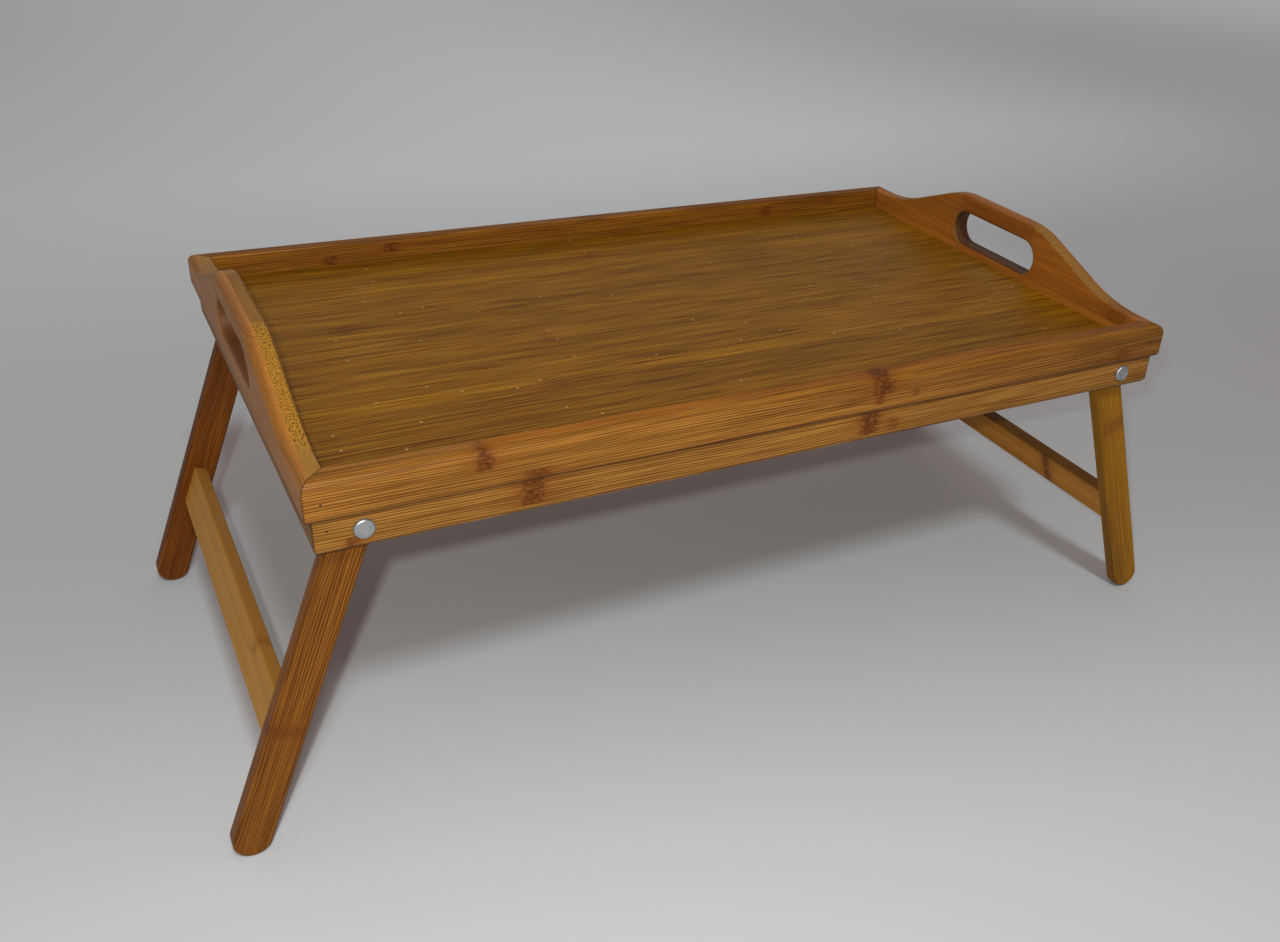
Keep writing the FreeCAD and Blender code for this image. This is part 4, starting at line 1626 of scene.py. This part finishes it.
    def panel(self) -> bpy.types.Material:
        """The finish of the panel: strips along the tray, with a few crumbs on them."""
        wood = (0.240, 0.119, 0.003)
        marks = (NodeMark(-105.0, -69.0, 8.0, 6.0, 0.2, 0.35), NodeMark(-188.0, 33.0, 7.0, 5.0, 0.2, 0.3),
                 NodeMark(-88.0, -13.0, 8.0, 5.0, 0.2, 0.3), NodeMark(-12.0, 105.0, 7.0, 5.0, 0.2, 0.35),
                 NodeMark(139.0, 10.0, 8.0, 6.0, 0.2, 0.3))
        finish = BambooFinish(
            "panel_bamboo", outer=wood, inner=wood, layer_depth=BEFORE_ALL, strip_width=15.0,
            strip_uneven=0.26, strip_contrast=0.5, seam_strength=0.4, clouds=0.35, contrast=1.75,
            drift=0.6, seed=8.0, specks=0.11, eased_wear_and_shade_share=0.0, marks=marks)
        return finish.material(self.effects, Grain((1, 0, 0), (0, 0, -1)))

    def apron(self, side: Side) -> bpy.types.Material:
        """The finish of an apron."""
        s = self.sizes
        marks = {Side.FRONT: (NodeMark(-147.0, 13.0, 9.0, 4.8, 0.1), NodeMark(42.0, 12.0, 8.0, 5.2, 0.1),
                              NodeMark(-230.0, 4.0, 3.0, 2.6, 0.4, 0.8),
                              NodeMark(58.0, 8.0, 4.0, 3.0, 0.3, 0.5))}
        finish = BambooFinish(
            side.name.lower() + "_apron_bamboo", outer=(0.237, 0.118, 0.0228), inner=(0.225, 0.098, 0.014),
            strip_width=19.0, strip_start=-1.0, strip_uneven=0.0, seed=11.9 + side.value / 90,
            marks=marks.get(side, ()), mitre_box=(s.apron_half_length, s.apron_half_width),
            # painted shade at the top of the apron, under the rim's overhang
            mitre_line=0.5, shade_band_level=s.rim_low - s.apron_low, shade_band_reach=1.1,
            eased=(0.256, 0.127, 0.026))
        outer = s.apron_half_width if side in (Side.FRONT, Side.BACK) else s.apron_half_length
        return finish.material(self.effects, self.side_grain(side, outer, s.apron_low))

    def leg(self, legs: LegFrame, face: Face) -> bpy.types.Material:
        """The finish of a leg."""
        wood, contrast, marks = {
            (End.LEFT, Face.FRONT): (
                (0.192, 0.077, 0.0065), 1.4, (NodeMark(117.0, 0.0, 10.2, 3.2, 0.15, 0.5),)),
            # painted shade: the back left leg is coloured darker, as it stands in the tray's shadow
            (End.LEFT, Face.BACK): ((0.162, 0.053, 0.004), 1.4, ()),
            (End.RIGHT, Face.FRONT): (
                (0.262, 0.127, 0.0035), 0.8, (NodeMark(48.0, 1.0, 9.3, 4.5, 0.3, 0.4),)),
            (End.RIGHT, Face.BACK): ((0.262, 0.127, 0.0035), 0.8, ())}[legs.end, face]
        finish = BambooFinish(
            f"{face.name.lower()}_{legs.end.name.lower()}_leg_bamboo", outer=wood, inner=wood, eased=wood,
            layer_depth=5.0, strip_width=10.0, seed=17.0 + 3 * legs.end.value + face.value,
            contrast=contrast, darken_along=0.3, marks=marks)
        origin = legs.pivot + np.array([0.0, face.value * self.sizes.leg_outer_y, 0.0])
        grain = Grain(tuple(legs.down), (0.0, -float(face.value), 0.0), tuple(origin))
        return finish.material(self.effects, grain)

    def crossbar(self, legs: LegFrame) -> bpy.types.Material:
        """The finish of a crossbar."""
        own = {
            End.LEFT: dict(
                outer=(0.42, 0.216, 0.031), strip_contrast=0.15, contrast=0.3, clouds=0.2,
                # painted shade: a dark band along the bar's upper edge
                shade_band_level=12.8, shade_band_reach=1.0, shade_band_strength=0.65, shade_band_colour=(0.165, 0.062, 0.010),
                marks=(NodeMark(-70.0, 11.0, 5.0, 2.2, 0.2, 0.4),)),
            End.RIGHT: dict(
                outer=(0.465, 0.207, 0.027), strip_contrast=0.22, contrast=0.45, clouds=0.3,
                # painted shade: a dark band along the bar's upper edge
                shade_band_level=-12.8, shade_band_reach=2.0, shade_band_strength=0.8, shade_band_colour=(0.075, 0.036, 0.007),
                marks=(NodeMark(-66.0, 0.0, 12.6, 2.8, 0.3, 0.75),))}[legs.end]
        finish = BambooFinish(
            legs.end.name.lower() + "_crossbar_bamboo", **own, inner=own["outer"], eased=own["outer"],
            layer_depth=4.0, strip_width=14.0, seam_strength=0.3, seed=23.0 + legs.end.value)
        face = legs.pivot + legs.bar_drop * legs.down - legs.bar_thickness / 2 * legs.outwards
        return finish.material(self.effects, Grain((0, 1, 0), tuple(legs.outwards), tuple(face)))


# ---------------------------------------------------------------------------------------------
# Studio


@dataclass(frozen=True)
class PhotoCamera:
    """The photograph's camera. Lengths are in pixels of its 1280 wide image and in millimetres."""

    width: float = 1280.0
    focal_length: float = 1250.0625
    axis_right: float = 113.0006
    axis_down: float = 13.1711
    place: Triple = (-323.538, -625.443, 475.704)
    turn: Triple = (1.0552229, -0.0681165, -0.5148199)
    sensor: float = 36.0

    def build(self) -> None:
        """Makes the camera and gives it to the scene."""
        data = bpy.data.cameras.new("camera")
        data.sensor_width = self.sensor
        data.lens = self.focal_length * self.sensor / self.width
        data.shift_x = -self.axis_right / self.width
        data.shift_y = self.axis_down / self.width
        camera = bpy.data.objects.new("camera", data)
        camera.location = Vector(self.place) / METRE
        camera.rotation_euler = Euler(self.turn, "XYZ")
        bpy.context.scene.collection.objects.link(camera)
        bpy.context.scene.camera = camera


@dataclass
class Studio:
    """The pale floor, the soft light from the front and above, and the camera.

    Lengths are in metres. An edge is the two places between which one colour turns into another.
    """

    floor_rings: tuple[float, ...] = (0.5, 2.0, 5.0, 9.0)
    floor_roughness: float = 0.75
    floor_specular: float = 0.2
    # The floor's colours are painted light and shade: darker round the tray, paler far behind.
    floor_near: Colour = (0.520, 0.542, 0.542)
    floor_middle_painted_shade: Colour = (0.420, 0.450, 0.442)
    floor_far_painted_light: Colour = (0.545, 0.627, 0.620)
    near_slant: float = 0.35
    near_edge: Span = (-0.30, 0.10)
    back_edge: Span = (0.0, 0.8)
    far_edge: Span = (0.9, 1.5)
    glow_edge: Span = (0.45, 1.05)
    glow_strength: float = 0.15
    glow_middle: float = 0.5
    glow_reach: float = 1.0
    key_place: Triple = (-0.32, -1.75, 2.25)
    key_size: float = 0.34
    key_power: float = 32.5
    key_colour: Colour = (0.955, 1.015, 1.035)
    near_place: Triple = (-0.355, -0.63, 0.513)
    near_size: float = 0.02
    near_power: float = 3.0
    world_light: Colour = (0.366, 0.279, 0.279)
    haze: Colour = (0.362, 0.368, 0.366)
    haze_edge: Span = (1.7, 3.8)
    aim: Triple = (0.0, 0.0, 0.12)

    def floor(self) -> None:
        """A round floor with painted light and shade: paler towards the front and far behind, darker round
        the tray, and lost in the haze at a distance.
        """
        angle = np.linspace(0, 2 * math.pi, 96, endpoint=False)
        rings = np.array(self.floor_rings)[:, None] * METRE
        points = np.stack([rings * np.cos(angle), rings * np.sin(angle), 0 * rings * angle], -1)
        surface = Surface()
        numbers = surface.add_points(points)
        surface.add_grid(numbers, closed=True)
        surface.add_cap(numbers[0])
        piece = surface.to_object("floor")
        if piece.data.polygons[-1].normal.z < 0:
            piece.data.flip_normals()
        dress(piece, self.floor_material())

    def floor_material(self) -> bpy.types.Material:
        """Matt paper, whose far part glows a little with painted light and turns into the haze for the
        camera alone.
        """
        material = bpy.data.materials.new("floor_paper")
        sheet = Sheet.of(material)
        place = sheet.add("ShaderNodeTexCoord").outputs["Object"]
        x, y, _ = sheet.split(place)
        slanted = sheet.math("MULTIPLY_ADD", x, self.near_slant, y)
        away = sheet.measure("LENGTH", place)
        # Painted shade round the tray and painted light far behind, in the floor's colour.
        colour = sheet.mix(sheet.step(slanted, self.near_edge), self.floor_near, self.floor_middle_painted_shade)
        colour = sheet.mix(sheet.step(y, self.back_edge), colour, self.floor_far_painted_light)
        colour = sheet.mix(sheet.step(away, self.far_edge), colour, self.floor_far_painted_light)
        seen = sheet.seen()
        # Painted light: the far floor glows, for the camera and in reflections.
        bright = sheet.bell(sheet.math("SUBTRACT", x, self.glow_middle), self.glow_reach)
        glow = sheet.product(sheet.step(y, self.glow_edge), seen, bright, self.glow_strength)
        paper = sheet.add("ShaderNodeBsdfPrincipled", {
            "Base Color": colour, "Roughness": self.floor_roughness,
            "Specular IOR Level": self.floor_specular, "Emission Color": (1.0, 1.0, 1.0),
            "Emission Strength": glow})
        haze = sheet.add("ShaderNodeEmission", {"Color": self.haze, "Strength": 1.0})
        far = sheet.product(sheet.step(away, self.haze_edge), seen)
        sheet.shine(sheet.add("ShaderNodeMixShader", {0: far, 1: paper.outputs[0], 2: haze.outputs[0]}))
        return material

    def lamp(self, name: str, place: Triple, size: float, power: float,
             colour: Colour = (1.0, 1.0, 1.0)) -> None:
        """A round soft lamp that looks at the tray."""
        data = bpy.data.lights.new(name, "AREA")
        data.shape = "DISK"
        data.size = size
        data.energy = power
        data.color = colour
        lamp = bpy.data.objects.new(name, data)
        lamp.location = place
        aim = Vector(self.aim) - Vector(place)
        lamp.rotation_euler = aim.to_track_quat("-Z", "Y").to_euler()
        bpy.context.scene.collection.objects.link(lamp)

    def world(self) -> None:
        """An even pale surround, which the camera sees as the haze that the floor fades into."""
        world = bpy.data.worlds.new("surround")
        sheet = Sheet.of(world)
        colour = sheet.mix(sheet.seen(), self.world_light, self.haze)
        background = sheet.add("ShaderNodeBackground", {"Color": colour, "Strength": 1.0})
        sheet.shine(background, "ShaderNodeOutputWorld")
        bpy.context.scene.world = world

    def build(self) -> None:
        """Makes the floor, the lamps, the surround and the camera."""
        bpy.context.scene.view_settings.view_transform = "Standard"
        self.floor()
        self.lamp("key_lamp", self.key_place, self.key_size, self.key_power, self.key_colour)
        self.lamp("near_lamp", self.near_place, self.near_size, self.near_power)
        self.world()
        PhotoCamera().build()


def main() -> None:
    """Builds the tray's sub-assemblies in order, and then the studio round it."""
    logging.basicConfig(level=logging.INFO, format="%(name)s %(message)s")
    sizes = TraySizes.from_frame()
    finishes = TrayFinishes(sizes, Effects())
    RimFrame(sizes).build(finishes)
    ApronFrame(sizes).build(finishes)
    for end in End:
        LegFrame(sizes, end).build(finishes)
    PivotHardware(sizes).build(finishes)
    Studio().build()


if __name__ == "__main__":
    main()
